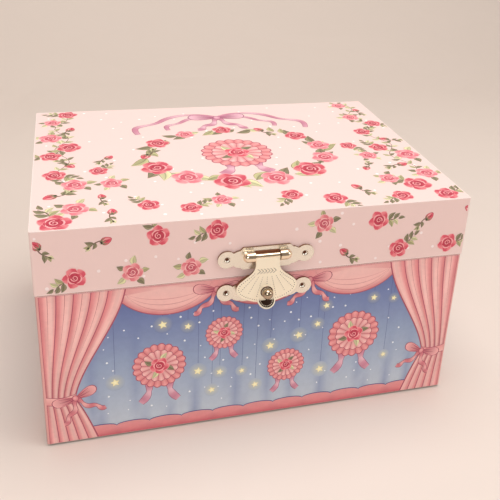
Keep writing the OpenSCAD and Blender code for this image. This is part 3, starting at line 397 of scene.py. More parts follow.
paper_lid = material("lid paper", (244, 211, 203), 0.50, mottle=(18.0, 0.02, 1400.0), bump=0.12,
                     bump_size=0.00003, specular=0.3, worn=((250, 240, 232), 0.0005))
paper_body = material("body paper", (234, 166, 160), 0.50, mottle=(18.0, 0.03, 1400.0), bump=0.12,
                      bump_size=0.00003, specular=0.3, worn=((244, 226, 218), 0.0005))
# painted shade: a darker paper for the turned edges, standing for the shadow in the gap between lid and body
gap_shade_paper = material("painted gap shade", (128, 84, 76), 0.6, mottle=(500.0, 0.2, 1400.0), bump=0.1, specular=0.3)
ink_print = material("printed ink", (255, 255, 255), 0.50, mottle=(420.0, 0.07, 1900.0), bump=0.08,
                     bump_size=0.00002, specular=0.3, attribute="ink")
champagne_plate = material("champagne plate", (240, 230, 214), 0.25, 0.8, mottle=(120.0, 0.03, 160.0),
                           rough_swing=0.03)
leaf_gold = material("pale gold leaf", (255, 241, 215), 0.34, 0.3, mottle=(160.0, 0.03, 300.0),
                     rough_swing=0.04)
polished_gold = material("polished gold", (246, 226, 198), 0.09, 1.0, mottle=(80.0, 0.02, 1500.0),
                         rough_swing=0.02)
# painted shade: a darker metal for the sides of the plates and leaf, standing for the shadow and dark
# reflection round their edges
edge_shade_metal = material("painted plate edge shade", (150, 116, 88), 0.30, 1.0, mottle=(500.0, 0.2, 2600.0), bump=0.1)
bright_knob = material("bright knob", (184, 164, 140), 0.11, 1.0, mottle=(80.0, 0.02, 1500.0),
                       rough_swing=0.03)
dark_pin = material("dull hinge pin", (96, 58, 44), 0.42, 1.0, mottle=(400.0, 0.12, 2000.0), bump=0.1)
# painted shade: a brown for the backing that stands for the shaded hollow of the slot in the lid plate
slot_shade_brown = material("painted slot shade", (158, 96, 66), 0.45, mottle=(400.0, 0.10, 2000.0), bump=0.1)
brass = material("turned brass", (226, 200, 150), 0.30, 1.0, mottle=(260.0, 0.06, 2600.0), bump=0.10,
                 bump_size=0.00004, worn=((236, 210, 150), 0.0002))
steel = material("plated steel", (176, 176, 178), 0.30, 1.0, mottle=(220.0, 0.06, 2600.0), bump=0.10,
                 bump_size=0.00004)
blued_steel = material("spring steel", (116, 120, 130), 0.26, 1.0, mottle=(260.0, 0.10, 2000.0), bump=0.08)
cast_metal = material("cast bed", (170, 168, 164), 0.48, 1.0, mottle=(300.0, 0.12, 1500.0), bump=0.5,
                      bump_size=0.0001)
grey_board = material("grey board", (150, 132, 112), 0.85, mottle=(300.0, 0.16, 2200.0), bump=0.6,
                      bump_size=0.0001)
flock = material("rose flock", (214, 92, 124), 0.92, mottle=(90.0, 0.12, 3200.0), bump=0.8, bump_size=0.00012,
                 sheen=0.6)
velvet = material("rose velvet", (206, 78, 112), 0.88, mottle=(70.0, 0.18, 2600.0), bump=0.7,
                  bump_size=0.00015, sheen=0.9)
divider_cloth = material("divider satin", (232, 128, 152), 0.62, mottle=(60.0, 0.08, 1800.0), bump=0.35,
                         bump_size=0.00006, weave=9000.0, sheen=0.3)
felt = material("base felt", (176, 146, 142), 0.95, mottle=(220.0, 0.22, 2600.0), bump=1.0, bump_size=0.0002,
                sheen=0.4)
silvered = material("mirror silver", (232, 238, 238), 0.03, 1.0, mottle=(8.0, 0.01, 200.0), rough_swing=0.015)
ivory = material("ivory plastic", (240, 226, 204), 0.34, mottle=(60.0, 0.04, 900.0), coat=0.2)
clear_fan = material("pale nylon", (226, 226, 220), 0.40, mottle=(90.0, 0.05, 1200.0))

FINISH = {
    "base_felt": felt, "body_lining": flock, "lid_lining": flock, "floor_pads": velvet, "ring_rolls": velvet,
    "mirror_frame": divider_cloth, "cross_divider": divider_cloth, "bay_dividers": divider_cloth,
    "centre_divider": divider_cloth, "deck": divider_cloth, "ring_shelf": divider_cloth, "mirror": silvered,
    "deck_bush": ivory, "spring_socket": ivory, "dancer_cup": ivory, "idler": ivory, "governor": clear_fan,
    "comb": blued_steel, "mainspring": blued_steel, "dancer_spring": blued_steel, "click": steel,
    "hasp_pin": dark_pin, "catch_post": steel, "catch_brads": dark_pin, "lid_plate_brads": dark_pin,
    "snap_clip": steel, "bedplate": cast_metal, "governor_bracket": cast_metal, "bedplate_screws": steel,
    "comb_screws": steel, "winding_arbor": steel, "ratchet_wheel": steel, "stop_wire": steel,
    "spindle": steel,
    "catch_plate": champagne_plate, "lid_plate": champagne_plate, "hasp_leaf": leaf_gold,
    "hasp_knob": bright_knob, "body_wrap": paper_body, "lid_wrap": paper_lid,
    "dancer": material("doll skin", (240, 200, 178), 0.45, mottle=(200.0, 0.04, 1500.0), coat=0.1),
    "tutu": material("pink net", (246, 176, 196), 0.8, mottle=(400.0, 0.1, 3000.0), bump=0.4, sheen=0.5),
}
BRASS_NODES = ("winding_key", "spring_barrel", "barrel_cap", "pinned_cylinder", "cylinder_wheel")
for node_name, obj in NODES.items():
    plain = brass if "hinge" in node_name or node_name in BRASS_NODES else grey_board
    obj.data.materials.clear()
    obj.data.materials.append(FINISH.get(node_name, plain))


def coin_rim(copy, front, width, drop):
    """Presses the rim of a stamped plate back from its face. front is where the face lies, in mm."""
    near = 0.03 * MM
    for poly in copy.data.polygons:
        poly.select = poly.normal.y < -0.99 and abs(poly.center.y - front * MM) < near
    outline_points = len(copy.data.vertices)
    bpy.ops.object.mode_set(mode="EDIT")
    bpy.ops.mesh.select_mode(type="FACE")
    bpy.ops.mesh.inset(thickness=width * MM, depth=0, use_boundary=True, use_even_offset=True)
    bpy.ops.object.mode_set(mode="OBJECT")
    for v in copy.data.vertices[:outline_points]:
        if abs(v.co.y - front * MM) < near:
            v.co.y += drop * MM


def soften(node_name, width, name=None, segments=2, change=None, finish=None, rim=None):
    """A copy of a node with its edges eased by width in mm, which stands for the node. change moves its
    points first, and rim is what coin_rim takes."""
    copy = place_copy(name or node_name + "_eased", NODES[node_name].data)
    pick(copy)
    bpy.ops.object.mode_set(mode="EDIT")
    bpy.ops.mesh.select_all(action="SELECT")
    bpy.ops.mesh.remove_doubles(threshold=1e-6)
    bpy.ops.mesh.dissolve_limited(angle_limit=math.radians(0.6))
    bpy.ops.mesh.select_all(action="DESELECT")
    bpy.ops.object.mode_set(mode="OBJECT")
    if rim:
        coin_rim(copy, *rim)
    if change:
        for v in copy.data.vertices:
            v.co = change(v.co.copy())
    bevel = copy.modifiers.new("ease", "BEVEL")
    bevel.width = width * MM
    bevel.segments = segments
    bevel.limit_method = "ANGLE"
    bevel.angle_limit = math.radians(28)
    bevel.use_clamp_overlap = True
    apply_all(copy)
    smooth(copy, 40)
    level = copy.modifiers.new("level_faces", "WEIGHTED_NORMAL")
    level.keep_sharp = True
    apply_all(copy)
    if finish:
        copy.data.materials.clear()
        copy.data.materials.append(finish)
    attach(copy, NODES[node_name]["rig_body"])
    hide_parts(node_name)
    return copy


# ---------------------------------------------------------------- camera, lamps and floor

def make_camera():
    """Camera from the front left and a little above. Its place and tilt come from the box's own edges."""
    focal, middle_u, middle_v, frame_px = 732.17, 278.95, 158.08, 500.0
    azimuth, elevation, roll = (math.radians(a) for a in (-16.967, 22.408, 3.343))
    back = Vector((math.sin(azimuth) * math.cos(elevation), -math.cos(azimuth) * math.cos(elevation),
                   math.sin(elevation)))
    right = (-back).cross(Vector((0, 0, 1))).normalized()
    up = right.cross(-back)
    across = right * math.cos(roll) + up * math.sin(roll)
    upward = -right * math.sin(roll) + up * math.cos(roll)
    data = bpy.data.cameras.new("camera")
    cam = bpy.data.objects.new("camera", data)
    bpy.context.scene.collection.objects.link(cam)
    cam.matrix_world = Matrix((
        (across.x, upward.x, back.x, -80.684 * MM),
        (across.y, upward.y, back.y, (-275.214 - BOX_D / 2) * MM),
        (across.z, upward.z, back.z, 256.26 * MM),
        (0, 0, 0, 1)))
    data.sensor_width = 36.0
    data.lens = focal / frame_px * 36.0
    data.shift_x = -(middle_u - frame_px / 2) / frame_px
    data.shift_y = (middle_v - frame_px / 2) / frame_px
    data.clip_start = 0.01
    data.clip_end = 20.0
    bpy.context.scene.camera = cam


def lamp(name, place, aim, size, power, rgb):
    """A round soft lamp. Places and size are in metres, power in watts."""
    data = bpy.data.lights.new(name, "AREA")
    data.shape = "DISK"
    data.size = size
    data.energy = power
    data.color = linear(rgb)
    obj = bpy.data.objects.new(name, data)
    bpy.context.scene.collection.objects.link(obj)
    obj.location = place
    obj.rotation_mode = "QUATERNION"
    obj.rotation_quaternion = (Vector(aim) - Vector(place)).to_track_quat("-Z", "Y")


def make_world():
    """A plain room: soft light from above, darker and patterned in reflections, pale where the camera
    looks."""
    bpy.context.scene.view_settings.view_transform = "Standard"
    world = bpy.data.worlds.new("room")
    bpy.context.scene.world = world
    world.use_nodes = True
    n = Nodes(world.node_tree)
    ground = world.node_tree.nodes["Background"]
    coords = n.add("ShaderNodeTexCoord")
    split = n.add("ShaderNodeSeparateXYZ")
    n.join(coords.outputs["Generated"], split.inputs[0])
    height = n.math("MULTIPLY_ADD", split.outputs[2], 0.5, 0.5)
    light = n.ramp(height, (0.30, (0.30, 0.29, 0.285)), (0.72, (0.83, 0.83, 0.83)))
    ground.inputs["Strength"].default_value = 0.42
    reflected = n.ramp(height, (0.40, (0.10, 0.065, 0.045)), (0.97, (1.0, 0.95, 0.88)),
                       (0.50, (0.34, 0.25, 0.19)), (0.60, (1.0, 0.93, 0.85)), (0.72, (0.24, 0.17, 0.13)),
                       (0.84, (0.90, 0.82, 0.74)))
    ray = n.add("ShaderNodeLightPath")
    unseen = n.mix(ray.outputs["Is Glossy Ray"], light, reflected)
    n.join(n.mix(ray.outputs["Is Camera Ray"], unseen, (1.75, 1.44, 1.22)), ground.inputs["Color"])


def make_floor():
    """A large pale cloth with soft folds that rises behind the box."""
    width, front, depth, rise_from = 3200, -900, 2600, 420

    def cloth(s, t):
        y = front + depth * t
        return (-width / 2 + width * s, y, max(0.0, y - rise_from) ** 2 / 900.0)

    floor = grid_form("floor", 90, 90, cloth)
    made = bpy.data.materials.new("pale cloth")
    made.use_nodes = True
    n = Nodes(made.node_tree)
    shader = made.node_tree.nodes["Principled BSDF"]
    coords = n.add("ShaderNodeTexCoord").outputs["Object"]
    split = n.add("ShaderNodeSeparateXYZ")
    n.join(coords, split.inputs[0])
    colour = n.ramp(n.math("MULTIPLY_ADD", split.outputs[1], 1.25, 0.30, clamp=True),
                    (0.0, linear((226, 211, 200))), (1.0, linear((218, 201, 188))))
    folds = n.add("ShaderNodeTexNoise", Scale=5.0, Detail=3.0, Distortion=1.2)
    n.join(coords, folds.inputs["Vector"])
    n.join(colour, shader.inputs["Base Color"])
    shader.inputs["Roughness"].default_value = 0.7
    relief = n.add("ShaderNodeBump", Strength=0.25, Distance=0.012)
    n.join(folds.outputs["Fac"], relief.inputs["Height"])
    n.join(relief.outputs[0], shader.inputs["Normal"])
    floor.data.materials.append(made)
    smooth(floor, 60)


make_camera()
make_world()
make_floor()
lamp("overhead", (0.06, -0.04, 1.25), (0, 0, 0.05), 1.0, 12.4, (255, 253, 251))
lamp("front fill", (-0.55, -1.30, 0.80), (0, 0, 0.05), 0.7, 5.6, (248, 252, 255))
lamp("side window", (1.25, -0.70, 0.70), (0, 0, 0.05), 0.7, 4.2, (250, 252, 255))

# ---------------------------------------------------------------- printing on the paper

ROSE_DEEP = (202, 58, 80)
ROSE_MID = (224, 90, 106)
ROSE_SOFT = (243, 140, 144)
ROSE_PALE = (253, 200, 196)
ROSE_LINE = (176, 44, 66)
LEAF_DARK = (142, 132, 102)
LEAF_MID = (184, 176, 130)
LEAF_PALE = (214, 206, 160)
TWIG = (122, 92, 78)
RIBBON = (212, 138, 158)
RIBBON_DARK = (160, 86, 112)
RIBBON_LIGHT = (242, 192, 202)
DRAPE = (232, 154, 152)
DRAPE_LIGHT = (248, 190, 182)
DRAPE_DARK = (218, 124, 128)
DRAPE_LINE = (176, 84, 102)
SWAG = (246, 194, 186)
SKY_TOP = (92, 104, 156)
SKY_MID = (150, 163, 188)
SKY_LOW = (200, 206, 211)
THREAD = (86, 92, 140)
STAR = (250, 232, 170)
SPARK = (255, 255, 255)
TIE = 0.30  # height of the drapes' band, as a share of the body's
BOW_INKS = ((246, 182, 178), (220, 126, 134), (164, 70, 92))

# each rose's five inks: heart, body, light side, edge and line. A red and a pale rose for the walls,
# then the same for the top, with the red rose's inks but its palest 5% darker to offset the stronger light
# there: painted shade.
WALLS, TOP = 0, 2
ROSES = (
    (ROSE_DEEP, ROSE_MID, ROSE_SOFT, ROSE_PALE, ROSE_LINE),
    ((212, 92, 106), (232, 130, 136), (246, 166, 164), (254, 210, 204), (186, 70, 88)),
    (shade(ROSE_DEEP, 0.95), shade(ROSE_MID, 0.95), shade(ROSE_SOFT, 0.95), ROSE_PALE,
     shade(ROSE_LINE, 0.95)),
    ((212, 88, 106), (232, 128, 138), (244, 160, 162), (254, 206, 202), (190, 64, 84)),
)


ON_TWIG, IN_LEAVES, BUD = 0, 1, 2  # kinds of spray


def ink_at(inks, i):
    """One of a row of inks, or the only ink given."""
    return inks[i] if isinstance(inks[0], (tuple, list)) else inks


def polar(u, v, r, angle):
    """The point at a distance and an angle from (u, v)."""
    return (u + r * math.cos(angle), v + r * math.sin(angle))


def full_turn(n):
    """n even angles round a circle."""
    return [2 * math.pi * i / n for i in range(n)]


class Print:
    """Flat printing on one face of the box: thin coloured shapes laid one over another. Places on it are
    (u, v) in mm from the middle of its lower edge, and layer is how many layers of ink lie below."""

    def __init__(self, name, origin, across, up, width, height):
        self.name = name
        self.origin = Vector(origin)
        self.across = Vector(across)
        self.up = Vector(up)
        self.out = self.across.cross(self.up)
        self.w = width
        self.h = height
        self.verts = []
        self.faces = []
        self.inks = []

    def face(self, points, inks, layer):
        """One flat shape, with one ink or one for each point. What lies past the sheet's edges is cut off."""
        poly = [(p[0], p[1], ink_at(inks, i)) for i, p in enumerate(points)]
        for axis, limit, sign in ((0, -self.w / 2, 1), (0, self.w / 2, -1), (1, 0.0, 1), (1, self.h, -1)):
            kept = []
            for i in range(len(poly)):
                a, b = poly[i - 1], poly[i]
                da, db = (a[axis] - limit) * sign, (b[axis] - limit) * sign
                if (da >= 0) != (db >= 0):
                    t = da / (da - db)
                    kept.append((a[0] + (b[0] - a[0]) * t, a[1] + (b[1] - a[1]) * t,
                                 blend_ink(a[2], b[2], t)))
                if db >= 0:
                    kept.append(b)
            poly = kept
            if len(poly) < 3:
                return
        start = len(self.verts)
        for u, v, c in poly:
            p = self.origin + self.across * u + self.up * v + self.out * (LAYER * (layer + 0.5))
            self.verts.append((p.x, p.y, p.z))
        self.faces.append(tuple(range(start, start + len(poly))))
        self.inks += [c for _, _, c in poly]

    def fan(self, centre, rim, inner, outer, layer):
        """A shape shaded from its middle to its rim."""
        for i in range(len(rim)):
            j = (i + 1) % len(rim)
            self.face([centre, rim[i], rim[j]], [inner, ink_at(outer, i), ink_at(outer, j)], layer)

    def strip(self, left, right, ink_left, ink_right, layer):
        """A band between two lines, each with one ink or one for each of its points."""
        for i in range(len(left) - 1):
            near = [ink_at(ink_left, i), ink_at(ink_right, i)]
            far = [ink_at(ink_right, i + 1), ink_at(ink_left, i + 1)]
            self.face([left[i], right[i], right[i + 1], left[i + 1]], near + far, layer)

    def stroke(self, points, widths, ink, layer, ink_b=None):
        """A brush line with a width at each point."""
        left, right = [], []
        for i, p in enumerate(points):
            a, b = points[max(i - 1, 0)], points[min(i + 1, len(points) - 1)]
            d = Vector((b[0] - a[0], b[1] - a[1]))
            d = d.normalized() if d.length > 1e-9 else Vector((1, 0))
            w = widths[i] if isinstance(widths, (list, tuple)) else widths
            left.append((p[0] - d.y * w / 2, p[1] + d.x * w / 2))
            right.append((p[0] + d.y * w / 2, p[1] - d.x * w / 2))
        self.strip(left, right, ink, ink_b or ink, layer)

    def disc(self, u, v, r, ink, layer, sides):
        """A round dot."""
        self.fan((u, v), [polar(u, v, r, a) for a in full_turn(sides)], ink, ink, layer)

    def finish(self, body, slot_name):
        """Makes the printing a piece of its own, with its inks as mesh colours."""
        mesh = bpy.data.meshes.new(self.name)
        mesh.from_pydata([tuple(c * MM for c in v) for v in self.verts], [], self.faces)
        mesh.materials.append(ink_print)
        printed = bpy.data.objects.new(self.name, mesh)
        bpy.context.scene.collection.objects.link(printed)
        colours = mesh.color_attributes.new("ink", "FLOAT_COLOR", "CORNER")
        for corner, ink in zip(colours.data, self.inks):
            corner.color = (*linear(ink), 1.0)
        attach(printed, body)


def curve_points(p0, p1, p2, p3, n=10):
    """n steps along a curve from p0 to p3 that p1 and p2 pull."""
    out = []
    for i in range(n + 1):
        t = i / n
        a, b, c, d = (1 - t) ** 3, 3 * t * (1 - t) ** 2, 3 * t * t * (1 - t), t ** 3
        out.append((a * p0[0] + b * p1[0] + c * p2[0] + d * p3[0],
                    a * p0[1] + b * p1[1] + c * p2[1] + d * p3[1]))
    return out


def draw_leaf(sheet, u, v, length, angle, ink, layer, fat=0.27):
    """A leaf from its stalk at (u, v): a dark edge, one half lighter, and a vein."""
    c, s = math.cos(angle), math.sin(angle)
    n = 8
    rows = {"mid": [], "left": [], "right": [], "far_left": [], "far_right": []}
    for i in range(n + 1):
        t = i / n
        w = fat * length * math.sin(math.pi * t ** 0.85) * (1 - 0.2 * t)
        x, y = length * t, 0.12 * length * math.sin(math.pi * t)
        for key, across in (("mid", 0), ("left", w * 0.86), ("right", -w * 0.86), ("far_left", w),
                            ("far_right", -w)):
            rows[key].append((u + c * x - s * (y + across), v + s * x + c * (y + across)))
    edge = shade(ink, 0.80)
    sheet.strip(rows["far_left"], rows["left"], edge, edge, layer)
    sheet.strip(rows["left"], rows["mid"], shade(ink, 1.14), ink, layer)
    sheet.strip(rows["mid"], rows["right"], shade(ink, 0.92), shade(ink, 0.98), layer)
    sheet.strip(rows["right"], rows["far_right"], edge, edge, layer)
    sheet.stroke(rows["mid"][:-1], [0.05 * length * (1 - i / n) + 0.02 * length for i in range(n)], edge,
                 layer + 0.3)


def draw_petal(sheet, centre, points, inner, outer, line, layer, thick=0.10):
    """One petal: shaded from its foot to its edge, with a thin darker line round it."""
    n = len(points)
    mid = (sum(p[0] for p in points) / n, sum(p[1] for p in points) / n)
    shrunk = [(mid[0] + (p[0] - mid[0]) * (1 - thick), mid[1] + (p[1] - mid[1]) * (1 - thick))
              for p in points]
    sheet.fan(centre, shrunk, inner, outer, layer)
    sheet.strip(shrunk + shrunk[:1], points + points[:1], line, line, layer)


def draw_rose(sheet, u, v, r, turn, layer, inks=0):
    """A cabbage rose in loose brush marks: outer petals, a cup of inner ones and a curled heart."""
    deep, mid, soft, pale, line = ROSES[inks]
    for k in range(5):
        a = turn + k * 2 * math.pi / 5
        pu, pv = polar(u, v, 0.47 * r, a)
        rim, tones = [], []
        for b in full_turn(12):
            rr = r * (0.54 + 0.03 * math.cos(2 * (b - a)) + 0.035 * math.cos(4 * b + 2 * k))
            rim.append(polar(pu, pv, rr, b))
            in_shade = math.cos(b - a - 1.1) < 0.55
            tones.append(blend_ink(deep, mid, 0.5 + 0.5 * math.cos(b - a)) if in_shade else soft)
        edge = blend_ink(soft, pale, 0.45)
        draw_petal(sheet, polar(pu, pv, -0.2 * r, a), rim, mid, tones, edge, layer + 0.22 * k, 0.09)
    cup = [polar(u, v, r * (0.63 + 0.05 * math.cos(3 * b + turn * 2)), b) for b in full_turn(14)]
    tones = [blend_ink(deep, mid, 0.5 + 0.5 * math.sin(2.2 * i)) for i in range(14)]
    draw_petal(sheet, (u, v), cup, line, tones, soft, layer + 1.2, 0.07)
    for k in range(3):
        a = turn + 0.6 + k * 2 * math.pi / 3
        for radius, wide, sweep, ink_a, ink_b in ((0.50, 0.13, 1.8, soft, pale),
                                                  (0.40, 0.05, 1.4, line, line)):
            arc, widths = [], []
            for i in range(8):
                rr = r * (radius + 0.05 * math.sin(math.pi * i / 7))
                arc.append(polar(u, v, rr, a + (i / 7 - 0.5) * sweep))
                widths.append(r * wide * math.sin(math.pi * (i + 0.4) / 7.8))
            sheet.stroke(arc, widths, ink_a, layer + 1.5, ink_b)
    heart, widths = [], []
    for i in range(16):
        t = i / 15
        heart.append(polar(u, v, r * (0.31 - 0.25 * t), turn + 8.6 * t))
        widths.append(r * (0.10 - 0.05 * t))
    sheet.stroke(heart, widths, soft, layer + 1.8, pale)


def draw_bud(sheet, u, v, r, angle, layer):
    """A closed bud with a bent stalk and leaves."""
    c, s = math.cos(angle), math.sin(angle)

    def at(x, y):
        return (u + c * x - s * y, v + s * x + c * y)

    def along_stalk(t):
        return at(-2.9 * r + 2.7 * r * t, 0.55 * r * math.sin(2.4 * t))

    stalk = [along_stalk(t) for t in (0, 0.2, 0.4, 0.6, 0.8, 1.0)]
    sheet.stroke(stalk, [0.12 * r, 0.18 * r, 0.2 * r, 0.2 * r, 0.22 * r, 0.3 * r], TWIG, layer)
    for t, lean, size, ink in ((0.50, 2.5, 1.75, LEAF_DARK), (0.62, -2.4, 1.5, LEAF_DARK),
                               (0.22, 2.9, 1.4, LEAF_MID), (0.18, -2.8, 1.3, LEAF_PALE)):
        draw_leaf(sheet, *along_stalk(t), size * r, angle + lean, ink, layer + 0.3)
    rim = [at(r * (0.62 + 1.05 * math.cos(b)), r * 0.70 * math.sin(b) * (1.15 - 0.35 * math.cos(b)))
           for b in full_turn(14)]
    tones = [blend_ink(ROSE_MID, ROSE_SOFT, 0.5 + 0.5 * math.sin(0.9 * i)) for i in range(14)]
    draw_petal(sheet, at(0.4 * r, 0.1 * r), rim, ROSE_DEEP, tones, ROSE_LINE, layer + 0.8, 0.09)
    sheet.stroke([at(-0.1 * r, 0.25 * r), at(0.6 * r, 0.40 * r), at(1.3 * r, 0.10 * r)],
                 [0.05 * r, 0.26 * r, 0.04 * r], ROSE_SOFT, layer + 1.1, ROSE_PALE)
    sheet.stroke([at(0.0 * r, -0.3 * r), at(0.7 * r, -0.18 * r), at(1.5 * r, 0.05 * r)],
                 [0.05 * r, 0.10 * r, 0.03 * r], ROSE_LINE, layer + 1.1)
    for y in (-0.62, 0.05, 0.62):
        sheet.stroke([at(-0.5 * r, 0), at(0.05 * r, y * 0.8 * r), at(0.72 * r, y * r)],
                     [0.40 * r, 0.28 * r, 0.02 * r], LEAF_DARK, layer + 1.4)


def draw_spray(sheet, u, v, r, turn, layer, kind, rng, inks=WALLS):
    """A rose with its leaves, or a bud. inks is WALLS or TOP."""
    if kind == BUD:
        draw_bud(sheet, u, v, r * 0.50, turn, layer)
    elif kind == ON_TWIG:
        base = turn + 0.3
        bends = ((0.7, 0.0), (1.15, 0.04), (1.6, 0.12), (2.05, 0.26))
        twig = [polar(u, v, d * r, base + bend) for d, bend in bends]
        sheet.stroke(twig, [0.13 * r, 0.11 * r, 0.08 * r, 0.04 * r], TWIG, layer)
        for d, lean, size, ink in ((1.0, 1.0, 0.95, LEAF_DARK), (1.0, -1.0, 0.9, LEAF_MID),
                                   (1.5, 0.9, 0.85, LEAF_DARK), (1.45, -0.8, 0.8, LEAF_PALE),
                                   (1.95, 0.2, 0.7, LEAF_DARK)):
            stem = polar(u, v, d * r, base + 0.06 * d)
            draw_leaf(sheet, *stem, size * r, base + lean, ink, layer + 0.3)
        draw_rose(sheet, u, v, r, turn, layer + 0.7, inks)
    else:
        for k in range(5):
            a = turn + k * 2 * math.pi / 5 + rng.uniform(-0.25, 0.25)
            ink = (LEAF_PALE, LEAF_MID, LEAF_DARK)[(k * 2) % 3]
            length = r * rng.uniform(0.8, 1.05)
            draw_leaf(sheet, *polar(u, v, 0.8 * r, a), length, a + rng.uniform(-0.4, 0.4), ink, layer, 0.34)
        draw_rose(sheet, u, v, r, turn, layer + 0.7, 1 + inks)


def draw_star(sheet, u, v, r, turn, layer, ground):
    """A plain five-pointed star in a soft glow."""
    for size, share, lift in ((2.1, 0.0, 0), (1.45, 0.14, 0.3)):
        halo = [polar(u, v, size * r, b) for b in full_turn(16)]
        sheet.fan((u, v), halo, blend_ink(ground, STAR, 0.45), blend_ink(ground, STAR, share), layer + lift)
    rim = [polar(u, v, r if i % 2 == 0 else 0.50 * r, turn + math.pi / 2 + 2 * math.pi * i / 10)
           for i in range(10)]
    sheet.fan((u, v), rim, (255, 250, 212), STAR, layer + 0.6)


def draw_ribbon(sheet, points, width, layer, light=RIBBON_LIGHT, dark=RIBBON, line=RIBBON_DARK):
    """A shaded ribbon with a thin outline, narrower where it turns."""
    last = len(points) - 1
    wide = [width * (0.50 + 0.50 * abs(math.cos(2.3 * math.pi * i / last))) for i in range(last + 1)]
    sheet.stroke(points, [w + 0.45 for w in wide], line, layer)
    tones = [blend_ink(light, dark, 0.5 + 0.5 * math.sin(5.0 * i / last * math.pi)) for i in range(last + 1)]
    sheet.stroke(points, wide, tones, layer + 0.3, [shade(t, 0.93) for t in tones])


def draw_bow(sheet, u, v, r, layer, turn=0.0, reach=1.0, inks=(RIBBON_LIGHT, RIBBON, RIBBON_DARK)):
    """A tied ribbon bow: two loops, a knot and two tails."""
    c, s = math.cos(turn), math.sin(turn)

    def at(x, y):
        return (u + r * (c * x - s * y), v + r * (s * x + c * y))

    light, mid, dark = inks
    for sign in (-1, 1):
        turn_point = at(0.55 * reach * sign, -0.85)
        first = curve_points(at(0, 0), at(0.30 * reach * sign, -0.25), at(0.10 * reach * sign, -0.80),
                             turn_point, 9)
        second = curve_points(turn_point, at(1.00 * reach * sign, -0.90), at(0.75 * reach * sign, -1.40),
                              at(1.15 * reach * sign, -1.30), 9)
        draw_ribbon(sheet, first + second[1:], 0.26 * r, layer, light, mid, dark)
    for sign in (-1, 1):
        rim = []
        for b in full_turn(18):
            x = 0.62 + 0.60 * math.cos(b)
            y = 0.42 * math.sin(b) * (0.35 + 0.65 * x / 1.2) + 0.12 * x
            rim.append(at(sign * x, y))
        tones = [blend_ink(mid, light, 0.5 + 0.5 * math.cos(b)) for b in full_turn(18)]
        draw_petal(sheet, at(sign * 0.30, 0.03), rim, shade(mid, 0.86), tones, dark, layer + 0.6, 0.07)
        for y in (-0.15, 0.0, 0.15):
            sheet.stroke([at(sign * 0.12, y * 0.4), at(sign * 0.45, y * 1.0 + 0.03),
                          at(sign * 0.82, y * 1.5 + 0.08)], [0.05 * r, 0.035 * r, 0.01 * r], dark,
                         layer + 0.9)
    knot = [at(0.17 * math.cos(b), 0.21 * math.sin(b)) for b in full_turn(12)]
    draw_petal(sheet, at(-0.04, 0.05), knot, light, [mid] * 12, dark, layer + 1.2, 0.14)


def draw_cockade(sheet, u, v, r, layer, tail=1.6, turn=0.0):
    """A pleated ribbon rosette with a scalloped rim, a rose in its middle and two hanging tails."""
    for sign in (-1, 1):
        line = curve_points((u + 0.2 * r * sign, v), (u + 0.60 * r * sign, v - 0.7 * r),
                            (u + 0.10 * r * sign, v - 1.1 * r), (u + 0.70 * r * sign, v - tail * r), 12)
        draw_ribbon(sheet, line, 0.28 * r, layer)
    for size, pleats, lift, low, high in ((1.0, 20, 0.0, (220, 120, 124), (246, 170, 166)),
                                          (0.72, 16, 0.6, (230, 140, 142), (254, 204, 196))):
        rim, tones = [], []
        for i in range(pleats * 4):
            b = turn + 2 * math.pi * i / (pleats * 4)
            k = abs(math.sin(pleats / 2 * (b - turn)))
            rim.append(polar(u, v, size * r * (0.92 + 0.08 * k), b))
            tones.append(blend_ink(low, high, k ** 1.3))
        draw_petal(sheet, (u, v), rim, shade(low, 0.88), tones, DRAPE_LINE, layer + 0.6 + lift, 0.035)
        for k in range(pleats):
            b = turn + 2 * math.pi * k / pleats
            crease = [polar(u, v, 0.35 * size * r, b), polar(u, v, 0.90 * size * r, b)]
            sheet.stroke(crease, [0.08, 0.20], DRAPE_LINE, layer + 0.9 + lift)
    for k in range(4):
        a = turn + 0.4 + k * math.pi / 2
        draw_leaf(sheet, *polar(u, v, 0.2 * r, a), 0.42 * r, a, (LEAF_DARK, LEAF_PALE)[k % 2], layer + 1.9)
    draw_rose(sheet, u, v, 0.36 * r, turn, layer + 2.3)


def spread(rng, u0, u1, v0, v1, count, apart):
    """Loose points in a rectangle, none nearer another than the given distance."""
    points = []
    for _ in range(count * 12):
        u, v = rng.uniform(u0, u1), rng.uniform(v0, v1)
        if len(points) < count and all(math.hypot(u - p[0], v - p[1]) > apart for p in points):
            points.append((u, v))
    return points


def sky_at(v, height):
    """The night ground's colour at a height, palest at the floor."""
    t = min(1.0, max(0.0, v / height))
    return blend_ink(SKY_LOW, SKY_MID, t * 2) if t < 0.5 else blend_ink(SKY_MID, SKY_TOP, t * 2 - 1)


def draw_sky(sheet, seed):
    """The night ground, with faint upright clouds."""
    w, h = sheet.w, sheet.h
    columns, rows = 50, 10

    def tone(u, v):
        wave = 0.5 + 0.5 * math.sin(u * 0.40 + 1.3 * math.sin(u * 0.11 + seed) + 1.2 * math.sin(v * 0.035))
        return blend_ink(shade(sky_at(v, h), 1.02), SKY_TOP, 0.42 * wave ** 6 * max(0.0, 1.0 - v / h))

    for i in range(columns):
        u0, u1 = -w / 2 + w * i / columns, -w / 2 + w * (i + 1) / columns
        for j in range(rows):
            v0, v1 = h * j / rows, h * (j + 1) / rows
            corners = [(u0, v0), (u1, v0), (u1, v1), (u0, v1)]
            sheet.face(corners, [tone(u, v) for u, v in corners], 0)


